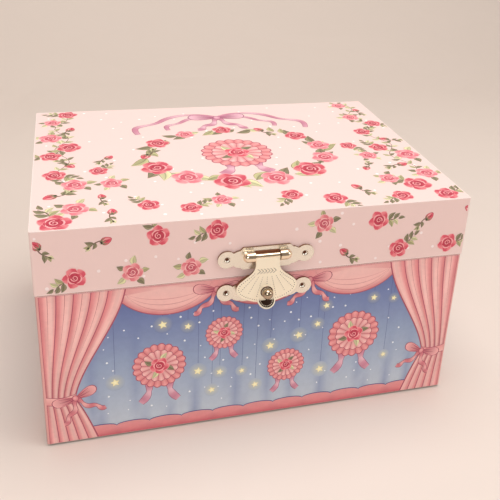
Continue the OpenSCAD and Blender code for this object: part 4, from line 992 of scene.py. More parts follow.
def draw_lights(sheet, rng, reach, cockades, dots):
    """Small lights and stars on threads, clear of the rosettes. reach is how far they spread to each side."""
    h = sheet.h
    taken = [(u, v, r * 1.3) for u, v, r in cockades]

    def is_free(u, v, gap):
        return all(math.hypot(u - t[0], v - t[1]) > t[2] + gap for t in taken)

    for u, v in spread(rng, -reach, reach, 10, h - 12, dots, 5.0):
        if is_free(u, v, 0):
            sheet.disc(u, v, rng.choice((0.30, 0.40, 0.50)), SPARK, 1.2, sides=8)
    stars, tries = 0, 0
    while stars < dots // 6 and tries < 900:
        tries += 1
        u, v = rng.uniform(-reach + 4, reach - 4), rng.uniform(16, h - 17)
        if is_free(u, v, 2):
            taken.append((u, v, 8))
            sheet.stroke([(u, v + 1), (u, h)], [0.16, 0.16], THREAD, 0.4)
            draw_star(sheet, u, v, rng.choice((1.5, 1.8, 2.2)), rng.uniform(-0.3, 0.3), 0.6, sky_at(v, h))
            stars += 1


def draw_floor_border(sheet):
    """A row of long low scallops along the lower edge."""
    w = sheet.w
    n = max(5, round(w / 15))
    half = w / n / 2
    for k in range(n):
        c = -w / 2 + w * (k + 0.5) / n
        foot = [(c - half, 0), (c + half, 0)]
        rim = [(c + half * math.cos(b), 5.0 + 1.6 * math.sin(b))
               for b in (math.pi * i / 10 for i in range(11))]
        sheet.face(foot + [(p[0], p[1] + 0.45) for p in rim], THREAD, 4.6)
        sheet.fan((c, 2.4), foot + rim, (232, 140, 140), [(208, 100, 110)] * 2 + [DRAPE] * 11, 4.9)


def draw_drape(sheet, side, sign):
    """A drape at one end of the scene, gathered in by a band with a bow. side is its width."""
    w, h = sheet.w, sheet.h
    folds, parts = 5, 4
    heights = [h * i / 26 for i in range(27)]
    lines = []
    for k in range(folds * parts + 1):
        line = []
        for v in heights:
            q = v / h
            above = max(0.0, (q - TIE) / (1 - TIE))
            below = max(0.0, (TIE - q) / TIE)
            open_up = 0.6 * above * above * (3 - 2 * above) + 0.4 * above
            reach = side * (0.34 + 0.66 * open_up + 0.26 * below ** 0.8)
            line.append((sign * (w / 2 - reach * (k / (folds * parts))), v))
        lines.append(line)
    tones = (DRAPE_DARK, DRAPE, DRAPE_LIGHT, SWAG, DRAPE)
    for k in range(folds * parts):
        a, b = lines[k], lines[k + 1]
        first, second = tones[k % parts], tones[k % parts + 1]
        if sign < 0:
            a, b, first, second = b, a, second, first
        for i in range(len(heights) - 1):
            lift = 0.93 + 0.09 * math.sin(math.pi * ((heights[i] / h - TIE) % 1.0))
            lift += 0.03 * math.sin(k * 1.7 + i * 0.5)
            lit, dim = shade(second, lift), shade(first, lift)
            sheet.face([b[i], a[i], a[i + 1], b[i + 1]], [lit, dim, dim, lit], 5.4)
    for k in range(folds + 1):
        sheet.stroke(lines[k * parts], 0.6 if k == folds else 0.34, DRAPE_LINE, 5.8)
        if 0 < k < folds:
            upper = lines[k * parts - 2][16:]
            sheet.stroke(upper, [0.05 + 0.02 * i for i in range(len(upper))], shade(DRAPE_DARK, 0.92), 5.8)
    reach = side * 0.34
    band_v = h * TIE
    band = [(sign * (w / 2 - reach * t * 1.04), band_v - 1.4 - 1.2 * math.sin(math.pi * t)) for t in
            (i / 8 for i in range(9))]
    top = [(p[0], p[1] + 4.0) for p in band]
    wide_band, wide_top = [(p[0], p[1] - 0.3) for p in band], [(p[0], p[1] + 0.3) for p in top]
    if sign < 0:
        band, top, wide_band, wide_top = top, band, wide_top, wide_band
    sheet.strip(wide_band, wide_top, DRAPE_LINE, DRAPE_LINE, 6.1)
    sheet.strip(band, top, DRAPE_LIGHT, DRAPE, 6.4)
    draw_bow(sheet, sign * (w / 2 - reach * 1.02), band_v + 0.4, 8.6, 6.6, turn=-0.35 * sign, inks=BOW_INKS)


def draw_valance(sheet, span, swags):
    """Gathered swags along the upper edge, over a width of span, with bows between them."""
    h = sheet.h
    half = span / swags / 2
    drop = 11.5
    across = [i / 10 - 1 for i in range(21)]
    for k in range(swags):
        c = -span / 2 + span * (k + 0.5) / swags
        head = [(c + half, h), (c - half, h)]
        low = [(c + half * x, h - 3.6 - drop * (1 - x * x) ** 0.75) for x in across]
        sheet.face(head + [(p[0], p[1] - 0.45) for p in low], DRAPE_LINE, 4.6)
        tones = [blend_ink(DRAPE_DARK, DRAPE, 0.5 * abs(math.sin(0.45 * i))) for i in range(21)]
        inner = [(c + 0.84 * half * x, h - 3.4 - 0.72 * drop * (1 - x * x) ** 0.75) for x in across]
        sheet.strip(low, inner, [shade(t, 0.98) for t in tones], DRAPE_LIGHT, 4.9)
        sheet.fan((c, h - 1.2), head + [low[0]] + inner + [low[-1]], SWAG,
                  [DRAPE, DRAPE, DRAPE] + [DRAPE_LIGHT] * 21 + [DRAPE], 4.9)
        for y, tint in ((0.30, 0.96), (0.55, 0.92), (0.80, 0.88)):
            fold = [(c + half * (0.97 - 0.1 * y) * x, h - 0.4 - (y + 0.30) * drop * (1 - x * x) ** 0.7)
                    for x in (i / 8 - 1 for i in range(17))]
            widths = [0.05 + 0.30 * (1 - abs(i / 8 - 1)) for i in range(17)]
            sheet.stroke(fold, widths, shade(DRAPE, tint), 5.1)
    for k in range(1, swags):
        draw_bow(sheet, -span / 2 + span * k / swags, h - 5.0, 9.0, 7.4, inks=BOW_INKS)


def draw_stage(sheet, seed, swags, side, cockades, dots):
    """The printed scene round the body. side is the width of its drapes, and each cockade is
    (u, v, radius)."""
    draw_sky(sheet, seed)
    draw_lights(sheet, random.Random(seed), sheet.w / 2 - side * 0.7, cockades, dots)
    for u, v, r in cockades:
        draw_cockade(sheet, u, v, r, 1.4, turn=u)
    draw_floor_border(sheet)
    for sign in (-1, 1):
        draw_drape(sheet, side, sign)
    draw_valance(sheet, sheet.w - 2 * side * 0.90, swags)


def scatter_roses(sheet, seed, columns, r, keep_clear=0):
    """Rose sprays in two staggered rows, cut at the edges, with pale dots between them."""
    rng = random.Random(seed)
    w, h = sheet.w, sheet.h
    kinds = [ON_TWIG, IN_LEAVES, ON_TWIG, BUD, IN_LEAVES, ON_TWIG, BUD]
    for row in (0, 1):
        for i in range(columns + 1):
            u = -w / 2 + w * (i + 0.12 + 0.5 * row) / columns + rng.uniform(-1.6, 1.6)
            v = h * (0.25 if row else 0.76) + rng.uniform(-1.8, 1.8)
            kind = kinds[(seed + 3 * i + 2 * row) % 7]
            turn = rng.uniform(0, 6.28)
            if keep_clear and abs(u) < keep_clear:
                continue
            draw_spray(sheet, u, v, r * (1.0 if kind == ON_TWIG else 0.92), turn, 0.6 + 4 * row, kind, rng)
    for u, v in spread(rng, -w / 2, w / 2, 1, h - 1, columns * 3, 8.0):
        sheet.disc(u, v, rng.uniform(0.6, 0.85), (255, 234, 230), 0.2, sides=12)


def draw_streamers(sheet, u, v, reach, layer):
    """Two pairs of long ribbon ends that curl as they fall."""
    for sign in (-1, 1):
        for size, low in ((1.0, 0.0), (0.64, 0.10)):
            r = reach * size

            def at(x, y):
                return (u + sign * r * x, v + r * (y - low))

            line = curve_points((u, v), at(0.22, 0.20), at(0.50, 0.16), at(0.66, -0.04), 14)
            line += curve_points(line[-1], at(0.80, -0.24), at(1.06, -0.10), at(0.96, -0.44), 14)[1:]
            draw_ribbon(sheet, line, 1.6 + 1.5 * size, layer - low)


def draw_vine(sheet, u, v0, v1, sway, layer):
    """A thin twig that wanders up the sheet, with pairs of small leaves."""
    steps = 36
    line = [(u + sway * math.sin(0.2 * v), v) for v in (v0 + (v1 - v0) * i / steps for i in range(steps + 1))]
    sheet.stroke(line, [0.35] * (steps + 1), TWIG, layer)
    for i in range(1, steps, 2):
        along = math.atan2(line[i + 1][1] - line[i - 1][1], line[i + 1][0] - line[i - 1][0])
        for lean in (-0.9, 0.9):
            ink = (LEAF_DARK, LEAF_MID, LEAF_PALE)[(i // 2 + (lean > 0)) % 3]
            draw_leaf(sheet, line[i][0], line[i][1], 4.6, along + lean, ink, layer + 0.1)


def draw_wreath(sheet, rng, cu, cv):
    """An oval of leaves and roses, larger towards the front."""
    half_w, half_h = 47, 35
    for k in range(40):
        a = 2 * math.pi * k / 40 + rng.uniform(-0.05, 0.05)
        u, v = cu + half_w * math.cos(a), cv + half_h * math.sin(a)
        lean = a + math.pi / 2 + rng.uniform(-0.9, 0.9)
        ink = rng.choice((LEAF_DARK, LEAF_MID, LEAF_PALE))
        length = rng.uniform(9.0, 12.5) * (1.15 if math.sin(a) < 0 else 0.85)
        draw_leaf(sheet, u, v, length, lean, ink, 0.6 + 0.3 * (k % 5))
    for k in range(13):
        a = 2 * math.pi * (k + 0.3) / 13
        u, v = cu + half_w * math.cos(a), cv + half_h * math.sin(a)
        front = 0.5 - 0.5 * math.sin(a)
        if k % 4 == 2 and front < 0.8:
            draw_bud(sheet, u, v, 3.0, a + 1.2, 2.4)
        elif k % 2:
            draw_rose(sheet, u, v, 5.4 + 3.6 * front, a, 2.4, TOP)
        else:
            draw_rose(sheet, u, v, 5.0 + 3.2 * front, a, 2.4, TOP + 1)


def draw_lid_top(sheet):
    """Oval wreath of roses round a pleated rosette, a bow at the back, sprays towards the corners."""
    rng = random.Random(41)
    w, h = sheet.w, sheet.h
    cu, cv = 2.0, 70.0
    for u, v in spread(rng, -w / 2 + 3, w / 2 - 3, 3, h - 3, 90, 9.0):
        sheet.disc(u, v, rng.uniform(0.6, 0.8), (255, 250, 244), 0.2, sides=12)
    draw_wreath(sheet, rng, cu, cv)
    draw_cockade(sheet, cu, cv + 1, 19, 0.6, tail=1.4, turn=0.2)
    draw_streamers(sheet, cu, h - 20, 50, 4.4)
    draw_bow(sheet, cu, h - 20, 14, 5.2, reach=0.9)
    for sign in (-1, 1):
        draw_vine(sheet, sign * (w / 2 - 13), 34, h - 4, 3.5, 0.3)
    # sprays along both sides and in the corners
    kinds = [ON_TWIG, IN_LEAVES, BUD, IN_LEAVES, ON_TWIG, BUD, ON_TWIG]
    k = 0
    for sign in (-1, 1):
        for j in range(12):
            v = 6 + (h - 12) * j / 11 + rng.uniform(-1.5, 1.5)
            u = sign * (w / 2 - 8 - 9 * (j % 2) + rng.uniform(-1.5, 1.5))
            r = rng.uniform(5.2, 6.6) * (1.12 - 0.25 * j / 10)
            draw_spray(sheet, u, v, r, rng.uniform(0, 6.28), 0.6, kinds[k % 7], rng, TOP)
            k += 1
        for j in range(4):
            u = sign * (w / 2 - 32 - 17 * j) + rng.uniform(-2, 2)
            v = 9 + 9 * (j % 2) + rng.uniform(-2, 2)
            draw_spray(sheet, u, v, rng.uniform(4.9, 6.0), rng.uniform(0, 6.28), 0.6, kinds[k % 7], rng, TOP)
            k += 1
        for j in range(4):
            u = sign * (w / 2 - 29 - 6 * (j % 2) + rng.uniform(-1, 1))
            r = rng.uniform(4.4, 5.2)
            draw_spray(sheet, u, 27 + 15 * j, r, rng.uniform(0, 6.28), 0.6, kinds[k % 7], rng, TOP)
            k += 1


def four_sides(prefix, w, d, z0, z1):
    """Print sheets on the four upright faces, front first."""
    hw, hd = w / 2 - SKIN, d / 2 - SKIN
    long_w, short_w, height = w - 2 * PRINT_MARGIN, d - 2 * PRINT_MARGIN, z1 - z0
    return {
        "front": Print(prefix + "_front", (0, -hd, z0), (1, 0, 0), (0, 0, 1), long_w, height),
        "right": Print(prefix + "_right", (hw, 0, z0), (0, 1, 0), (0, 0, 1), short_w, height),
        "back": Print(prefix + "_back", (0, hd, z0), (-1, 0, 0), (0, 0, 1), long_w, height),
        "left": Print(prefix + "_left", (-hw, 0, z0), (0, -1, 0), (0, 0, 1), short_w, height),
    }


def inside(w, d, top=None):
    """Gives the move that keeps a paper's points just inside the faces of a box, and below top where it
    is given."""
    hw, hd = w / 2 - SKIN, d / 2 - SKIN

    def move(co):
        x = max(-hw, min(hw, co.x / MM))
        y = max(-hd, min(hd, co.y / MM))
        z = co.z if top is None else min(top, co.z / MM) * MM
        return Vector((x * MM, y * MM, z))

    return move


def paint_gap_shade(paper, low, high):
    """Paints the gap's shadow as a darker colour on the turned edge that faces the joint between lid and
    body, from low to high.
    """
    paper.data.materials.append(gap_shade_paper)
    for poly in paper.data.polygons:
        outside = (abs(poly.center.x) > (BOX_W / 2 - 0.75) * MM
                   or abs(poly.center.y) > (BOX_D / 2 - 0.75) * MM)
        if outside and low * MM < poly.center.z < high * MM and 0.15 < abs(poly.normal.z) < 0.97:
            poly.material_index = 1


def print_lid():
    """Roses round the lid's walls, and the wreath on its top."""
    for label, sheet in four_sides("lid_print", BOX_W, BOX_D, LID_Z + 0.6, BOX_H - 0.8).items():
        columns = 8 if label in ("front", "back") else 6
        scatter_roses(sheet, LID_SEEDS[label], columns, 5.0, HASP_CLEAR if label == "front" else 0)
        sheet.finish("lid", "paper_lid")
    edge = 0.8
    top = Print("lid_print_top", (0, -BOX_D / 2 + edge, BOX_H - SKIN), (1, 0, 0), (0, 1, 0),
                BOX_W - 2 * edge, BOX_D - 2 * edge)
    draw_lid_top(top)
    top.finish("lid", "paper_lid")


def print_body():
    """The stage scenes round the body."""
    for label, sheet in four_sides("body_print", BODY_W, BODY_D, BODY_FOOT + 0.2, RIM_Z - 0.5).items():
        draw_stage(sheet, *SCENES[label])
        sheet.finish("case", "paper_body")


PRINT_MARGIN = 1.3  # bare paper at the upright edges
HASP_CLEAR = 17  # half the width behind the hasp that has no roses
LID_SEEDS = {"front": 3, "right": 8, "back": 14, "left": 21}
# each face's seed, number of swags, width of a drape, rosettes as (u, v, radius), and number of lights
SCENES = {
    "front": (5, 3, 36, [(-48, 36, 12.5), (-18, 50, 9), (13, 27, 9.5), (47, 40, 13.5)], 100),
    "right": (9, 2, 27, [(-17, 40, 11), (16, 31, 9.5)], 70),
    "back": (13, 3, 36, [(-50, 40, 10.5), (50, 34, 11)], 90),
    "left": (17, 2, 27, [(-17, 31, 9.5), (16, 42, 11)], 70),
}

lid_paper = soften("lid_wrap", 0.5, "lid_paper", segments=3, change=inside(BOX_W, BOX_D, BOX_H - SKIN))
body_paper = soften("body_wrap", 0.35, "body_paper", change=inside(BODY_W, BODY_D))
# painted shade along the gap between lid and body, on both papers
paint_gap_shade(lid_paper, LID_Z - 0.1, LID_Z + 0.55)
paint_gap_shade(body_paper, LID_Z - 0.8, LID_Z + 0.1)
print_lid()
print_body()

# ---------------------------------------------------------------- metal fittings

HASP_Z, HASP_FACE = 91.7, -77.15  # height of the hinge pin, and where the leaf's face lies
KNOB_Z = 73.9
BALL_CLEAR = 3.9  # no punched marks nearer to the ball's middle than this
PLATE_FACE_LID, PLATE_FACE_BODY = -74.5, -74.1
LEAF_FOOT = 23.3  # from the pin down to the leaf's lower edge

# painted shade: a dark bronze for the shade in the leaf's punched dots and cut marks, and in the tab's dish
shade_dark_bronze = material("painted shade bronze", (62, 42, 34), 0.38, 0.7, mottle=(500.0, 0.2, 2400.0), bump=0.1)

RIM_WIDTH, RIM_DROP = 0.7, 0.16


def fan_edge(inset):
    """Right half of the leaf's outline, from the neck down to the middle of the lower edge, moved in by
    inset."""
    h = HASP_Z
    curves = [
        [(5.5, h - 3.7), (5.7, h - 7.9), (9.2, h - 9.1), (12.6, h - 12.1)],
        [(12.6, h - 12.1), (14.6, h - 13.9), (14.6, h - 16.9), (12.7, h - 18.8)],
        [(12.7, h - 18.8), (9.4, h - 21.8), (4.6, h - LEAF_FOOT), (0, h - LEAF_FOOT)]]
    line = []
    for c in curves:
        line += curve_points(*c, n=14)[(1 if line else 0):]
    moved = []
    for i, p in enumerate(line):
        a, b = line[max(i - 1, 0)], line[min(i + 1, len(line) - 1)]
        d = Vector((b[0] - a[0], b[1] - a[1])).normalized()
        moved.append((p[0] + inset * d.y, p[1] - inset * d.x))
    return moved


def even_steps(line, step):
    """Points a fixed distance apart along a line."""
    out = [line[0]]
    left = step
    for a, b in zip(line, line[1:]):
        length = math.hypot(b[0] - a[0], b[1] - a[1])
        at = left
        while at <= length:
            t = at / length
            out.append((a[0] + (b[0] - a[0]) * t, a[1] + (b[1] - a[1]) * t))
            at += step
        left = at - length
    return out


def paint_edge_shade(obj, front, below=1000):
    """Gives the sides of a plate a darker metal: painted shade for the dark outline of shadow and dark
    reflection along its edges. front is where its face lies, in mm."""
    obj.data.materials.append(edge_shade_metal)
    for poly in obj.data.polygons:
        if abs(poly.normal.y) < 0.62 and poly.center.y > (front - 0.02) * MM and poly.center.z < below * MM:
            poly.material_index = 1


def polish_round(obj, front, above=0):
    """Gives what stands proud of a plate's face, the beads and the knuckle, a mirror polish."""
    obj.data.materials.append(polished_gold)
    for poly in obj.data.polygons:
        if poly.center.y < (front - 0.12) * MM and poly.center.z > above * MM:
            poly.material_index = len(obj.data.materials) - 1


upper_plate = soften("lid_plate", 0.2, finish=champagne_plate, rim=(PLATE_FACE_LID, RIM_WIDTH, RIM_DROP))
# painted shade on the sides of the plates and the leaf
paint_edge_shade(upper_plate, PLATE_FACE_LID)
polish_round(upper_plate, PLATE_FACE_LID)
lower_plate = soften("catch_plate", 0.2, finish=champagne_plate, rim=(PLATE_FACE_BODY, RIM_WIDTH, RIM_DROP))
paint_edge_shade(lower_plate, PLATE_FACE_BODY)
soften("winding_key", 0.35, finish=brass)
soften("hinge_leaves_body", 0.18, finish=brass)
soften("hinge_leaves_lid", 0.18, finish=brass)


def punch(name, r, places):
    """Small round marks on the leaf's face."""
    deselect()
    bpy.ops.mesh.primitive_circle_add(vertices=8, radius=r * MM, fill_type="NGON",
                                      rotation=(math.pi / 2, 0, 0))
    return copies(name, settle(bpy.context.object), places)


def chisel_mark(start, end, width):
    """A straight mark in the leaf's face from one (x, z) to another."""
    run, rise = end[0] - start[0], end[1] - start[1]
    deselect()
    bpy.ops.mesh.primitive_plane_add(size=MM, rotation=(math.pi / 2, -math.atan2(rise, run), 0))
    mark = bpy.context.object
    mark.scale = (math.hypot(run, rise), width, 1)
    mark.location = ((start[0] + end[0]) / 2 * MM, 0, (start[1] + end[1]) / 2 * MM)
    return settle(mark)


def leaf_stamping():
    """Punched dots along the edge and down seven ribs, and a row of chevrons, on the face of the leaf: flat
    dark marks painted for the shade in the dents.
    """
    face = HASP_FACE - 0.012
    pitch = 1.1
    border = [(side * x, face, z) for x, z in even_steps(fan_edge(1.1), pitch)[4:]
              for side in (-1, 1) if x > 0.3 or side > 0]
    ribs = []
    for k in range(-3, 4):
        a = math.radians(k * 15.0)
        length = 12.6 - 0.5 * abs(k)
        rib = []
        for i in range(19):
            down = length * (0.16 + 0.84 * i / 18)
            rib.append((1.2 * k + (2.0 + down) * math.sin(a) * 0.92,
                        HASP_Z - 8.3 - down * math.cos(a * 0.94)))
        ribs += [(x, face, z) for x, z in even_steps(rib, pitch)]

    def clear_of_ball(row):
        return [p for p in row if math.hypot(p[0], p[2] - KNOB_Z) > BALL_CLEAR]

    rise, reach, line = 1.25, 1.35, 0.21
    chevron = join("chevron", [chisel_mark((0, rise), (reach, 0), line),
                               chisel_mark((reach, 0), (-0.1, -rise), line)])
    chevrons = copies("chevrons", chevron, [(-4.6 + 1.46 * k, face, HASP_Z - 7.0) for k in range(6)])
    border_dots = punch("border_dots", 0.2, clear_of_ball(border))
    rib_dots = punch("rib_dots", 0.19, clear_of_ball(ribs))
    stamping = join("leaf_stamping", [border_dots, rib_dots, chevrons])
    stamping.data.materials.append(shade_dark_bronze)
    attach(stamping, "hasp")


def dish_the_tab():
    """Struck face of the thumb tab, a little hollow, painted dark for the shade and dark reflection in the
    dish, with a ring of beads inside its rim.
    """
    middle = Vector((0, HASP_FACE + 0.3, HASP_Z - LEAF_FOOT + 1.2))
    down = Vector((0, -math.sqrt(0.5), -math.sqrt(0.5)))
    out = Vector((0, -math.sqrt(0.5), math.sqrt(0.5)))
    across = Vector((1, 0, 0))
    rim, foot = 3.52, 0.42

    def struck(s, t):
        a, r = math.pi * s, rim * t
        low = foot + r * math.sin(a) - foot * (t < 0.01)
        hollow = 0.50 - 0.16 * math.cos(t * math.pi / 2)
        return middle + across * (r * math.cos(a)) + down * low + out * hollow

    dish = grid_form("tab_dish", 40, 6, struck)
    dish.data.materials.append(shade_dark_bronze)
    smooth(dish, 60)

    def domed(ring, angle):
        r, up = ((0.24, 0.0), (0.17, 0.11), (0.0, 0.16))[ring]
        return across * (r * math.cos(angle)) + down * (r * math.sin(angle)) + out * up

    places = []
    for k in range(11):
        a = math.pi * (k + 0.5) / 11
        places.append(middle + across * (2.85 * math.cos(a)) + down * (foot + 2.75 * math.sin(a))
                      + out * 0.44)
    beads = copies("tab_beads", outward(ring_form("bead", 8, 2, domed)), places)
    beads.data.materials.append(leaf_gold)
    smooth(beads, 80)
    for piece in (dish, beads):
        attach(piece, "hasp")


def ease_knob():
    """The ball, and the washer that it is riveted through."""
    knob = soften("hasp_knob", 0.05, "hasp_knob_round", finish=bright_knob)
    smooth(knob, 60)
    # partly a real washer, partly painted shade: its dark metal stands for the ring of shade round the ball's
    # foot
    deselect()
    bpy.ops.mesh.primitive_torus_add(major_segments=48, minor_segments=12,
                                     major_radius=2.62 * MM, minor_radius=0.26 * MM,
                                     location=(0, (HASP_FACE - 0.34) * MM, KNOB_Z * MM),
                                     rotation=(math.pi / 2, 0, 0))
    washer = bpy.context.object
    washer.name = "knob_washer"
    settle(washer)
    washer.data.materials.append(dark_pin)
    smooth(washer, 60)
    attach(washer, "hasp")


def slot_shade_backing():
    """Brown backing in the slot in the lid plate, behind the pin: painted shade for the hollow slot."""
    width, thick, height, behind = 11.3, 0.2, 3.8, -73.62
    deselect()
    bpy.ops.mesh.primitive_cube_add(size=1, location=(0, behind * MM, HASP_Z * MM))
    piece = bpy.context.object
    piece.scale = (width * MM, thick * MM, height * MM)
    piece.name = "slot_shade_backing"
    settle(piece)
    bevel = piece.modifiers.new("ease", "BEVEL")
    bevel.width = 0.06 * MM
    bevel.segments = 2
    apply_all(piece)
    piece.data.materials.append(slot_shade_brown)
    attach(piece, "lid")


leaf = soften("hasp_leaf", 0.2, segments=3, finish=leaf_gold)
paint_edge_shade(leaf, HASP_FACE, HASP_Z - 2)
polish_round(leaf, 0, HASP_Z - 1.2)
leaf_stamping()
dish_the_tab()
ease_knob()
# painted shade in the lid plate's slot
slot_shade_backing()

# ---------------------------------------------------------------- linings, pads and rolls

IN_HW, IN_HD = 95.9, 69.4  # half the width and depth inside
FLOOR_Z, PAD_TOP, PAD_CROWN = 3.8, 5.8, 0.8
BAY_FRONT, BAY_LEFT, CROSS_Y = 28.0, -35.0, 26.0
HALF_DIVIDER, PAD_GAP = 1.0, 0.3
ROLL_FIRST, ROLL_PITCH, ROLL_Z, ROLL_R = 32.15, 8.225, 49.95, 3.99
ROLL_LEFT, ROLL_RIGHT = 35.35, 95.55


def velvet_pad(name, x0, x1, y0, y1, wave_seed):
    """A card covered in velvet over thin wadding, crowned above and flat below, that lies between the
    walls x0, x1, y0 and y1."""
    card = 0.45
    x0, x1, y0, y1 = x0 + PAD_GAP, x1 - PAD_GAP, y0 + PAD_GAP, y1 - PAD_GAP
    cx, cy = (x0 + x1) / 2, (y0 + y1) / 2
    hx, hy = (x1 - x0) / 2, (y1 - y0) / 2
    pad = grid_form(name, 46, 46, lambda s, t: (x0 + 2 * hx * s, y0 + 2 * hy * t, 0))
    pick(pad)
    bpy.ops.object.mode_set(mode="EDIT")
    bpy.ops.mesh.select_all(action="SELECT")
    bpy.ops.mesh.extrude_region_move(TRANSFORM_OT_translate={"value": (0, 0, 1.0 * MM)})
    outward(pad)
    for v in pad.data.vertices:
        x, y = v.co.x / MM - cx, v.co.y / MM - cy
        if v.co.z > 0.5 * MM:
            from_edge = min(hx - abs(x), hy - abs(y))
            round_off = min(1.0, from_edge / 2.2)
            puff = math.sqrt(max(0.0, 1 - (1 - round_off) ** 2))
            swell = PAD_CROWN * (1 - (x / hx) ** 4) * (1 - (y / hy) ** 4)
            ripple = 0.10 * noise(Vector((x * 0.11 + wave_seed, y * 0.11, 0))) * round_off
            side = PAD_TOP - PAD_CROWN - FLOOR_Z - card
            v.co.z = (FLOOR_Z + card + side * puff + swell * puff + ripple) * MM
        else:
            v.co.z = FLOOR_Z * MM
    pad.data.materials.append(velvet)
    smooth(pad, 70)
    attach(pad, "case")
    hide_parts("floor_pads")


def ring_roll(index):
    """A foam roll in velvet with domed, gathered ends."""
    y, x0, x1 = ROLL_FIRST + index * ROLL_PITCH, ROLL_LEFT, ROLL_RIGHT
    along = 60

    def foam(ring, angle):
        x = x0 + (x1 - x0) * ring / along
        dome = math.sqrt(max(0.0, 1 - (1 - min(1.0, min(x - x0, x1 - x) / 1.6)) ** 2))
        pucker = 1 - 0.05 * (1 - dome) * abs(math.sin(5 * angle))
        soft = 1 + 0.012 * noise(Vector((x * 0.16, 3 * math.cos(angle) + index * 7, 3 * math.sin(angle))))
        reach = ROLL_R * (0.30 + 0.70 * dome) * pucker * soft
        flat = 0.97 if math.sin(angle) < -0.5 else 1.0
        return (x, y + reach * math.cos(angle) * 0.995, ROLL_Z + reach * math.sin(angle) * flat)

    roll = outward(ring_form("ring_roll_%d" % (index + 1), 28, along, foam))
    roll.data.materials.append(velvet)
    smooth(roll, 70)
    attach(roll, "case")
    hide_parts("ring_rolls")


velvet_pad("floor_pad_left", -IN_HW, -HALF_DIVIDER, -IN_HD, CROSS_Y, wave_seed=2)
velvet_pad("floor_pad_right", HALF_DIVIDER, IN_HW, -IN_HD, CROSS_Y, wave_seed=7)
velvet_pad("floor_pad_rear", -IN_HW, BAY_LEFT, BAY_FRONT, IN_HD, wave_seed=11)
for index in range(5):
    ring_roll(index)
for name, width in (("mirror_frame", 0.7), ("cross_divider", 0.5), ("bay_dividers", 0.5),
                    ("centre_divider", 0.5), ("deck", 0.4), ("ring_shelf", 0.3)):
    soften(name, width, name + "_covered", segments=3, finish=divider_cloth)

# ---------------------------------------------------------------- dancer, laid forward on her spring

SPINDLE_Y, SPRING_Z, FOLD_Y, FOLD_Z, TOE_Y = 44.0, 68.0, 30.0, 82.0, 27.0
WAIST = 23.0  # height of her waist above her toe; she is 50 mm tall with her arms up


def lay_forward(v):
    """From a figure drawn upright on her toe to where the folded spring holds her."""
    return Vector((v[0], TOE_Y - v[2], FOLD_Z + v[1]))


def lathe(profile, around, squash=1.0):
    """A turned form from (radius, height) pairs, squashed front to back."""

    def turned(ring, angle):
        r, h = profile[ring]
        return (r * math.cos(angle), r * math.sin(angle) * squash, h)

    return ring_form("turned", around, len(profile) - 1, turned)


def tube(points, radii, around=12):
    """A round rod through the points, with a radius at each."""
    points = [Vector(p) for p in points]
    last = len(points) - 1

    def swept(ring, angle):
        ahead = (points[min(ring + 1, last)] - points[max(ring - 1, 0)]).normalized()
        side = ahead.cross(Vector((0, 0, 1) if abs(ahead.z) < 0.9 else (0, 1, 0))).normalized()
        return points[ring] + (side * math.cos(angle) + ahead.cross(side) * math.sin(angle)) * radii[ring]

    return ring_form("rod", around, last, swept)


bodice = material("satin bodice", (232, 116, 156), 0.34, mottle=(400.0, 0.06, 3000.0), bump=0.25,
                  bump_size=0.00003, weave=16000.0, sheen=0.3, coat=0.2)
tights = material("pale tights", (250, 212, 208), 0.5, mottle=(300.0, 0.04, 2600.0), bump=0.1)
doll_hair = material("painted hair", (112, 66, 40), 0.4, mottle=(900.0, 0.25, 3000.0), bump=0.5,
                     bump_size=0.00006, coat=0.2)
eye_paint = material("eye paint", (52, 40, 40), 0.3, mottle=(500.0, 0.05, 900.0), coat=0.3)
lip_paint = material("lip paint", (204, 74, 92), 0.35, mottle=(500.0, 0.05, 900.0), coat=0.3)


def curve_points_3d(p0, p1, p2, p3, n):
    """n steps along a curve in space."""
    out = []
    for i in range(n + 1):
        t = i / n
        out.append(p0 * (1 - t) ** 3 + p1 * 3 * t * (1 - t) ** 2 + p2 * 3 * t * t * (1 - t) + p3 * t ** 3)
    return out


def arm(sign):
    """One raised arm with its hand, from the shoulder over the elbow."""
    shoulder, elbow = Vector((2.15 * sign, 0, 31.2)), Vector((5.3 * sign, -0.9, 38.2))
    hand = Vector((1.5 * sign, -1.5, 48.2))
    upper = curve_points_3d(shoulder, shoulder + Vector((1.6 * sign, -0.2, 1.2)),
                            elbow + Vector((-0.4 * sign, 0.2, -2.2)), elbow, 8)
    lower = curve_points_3d(elbow, elbow + Vector((0.5 * sign, -0.3, 3.6)),
                            hand + Vector((2.6 * sign, 0.1, -2.6)), hand, 10)
    line = upper + lower[1:]
    radii = [0.82 - 0.36 * i / (len(line) - 1) for i in range(len(line))]
    palm = hand + Vector((-0.2 * sign, 0, 0.35))
    return [tube(line, radii, 14), ball(tuple(palm), 0.52, 12, (0.8, 0.6, 1.25))]


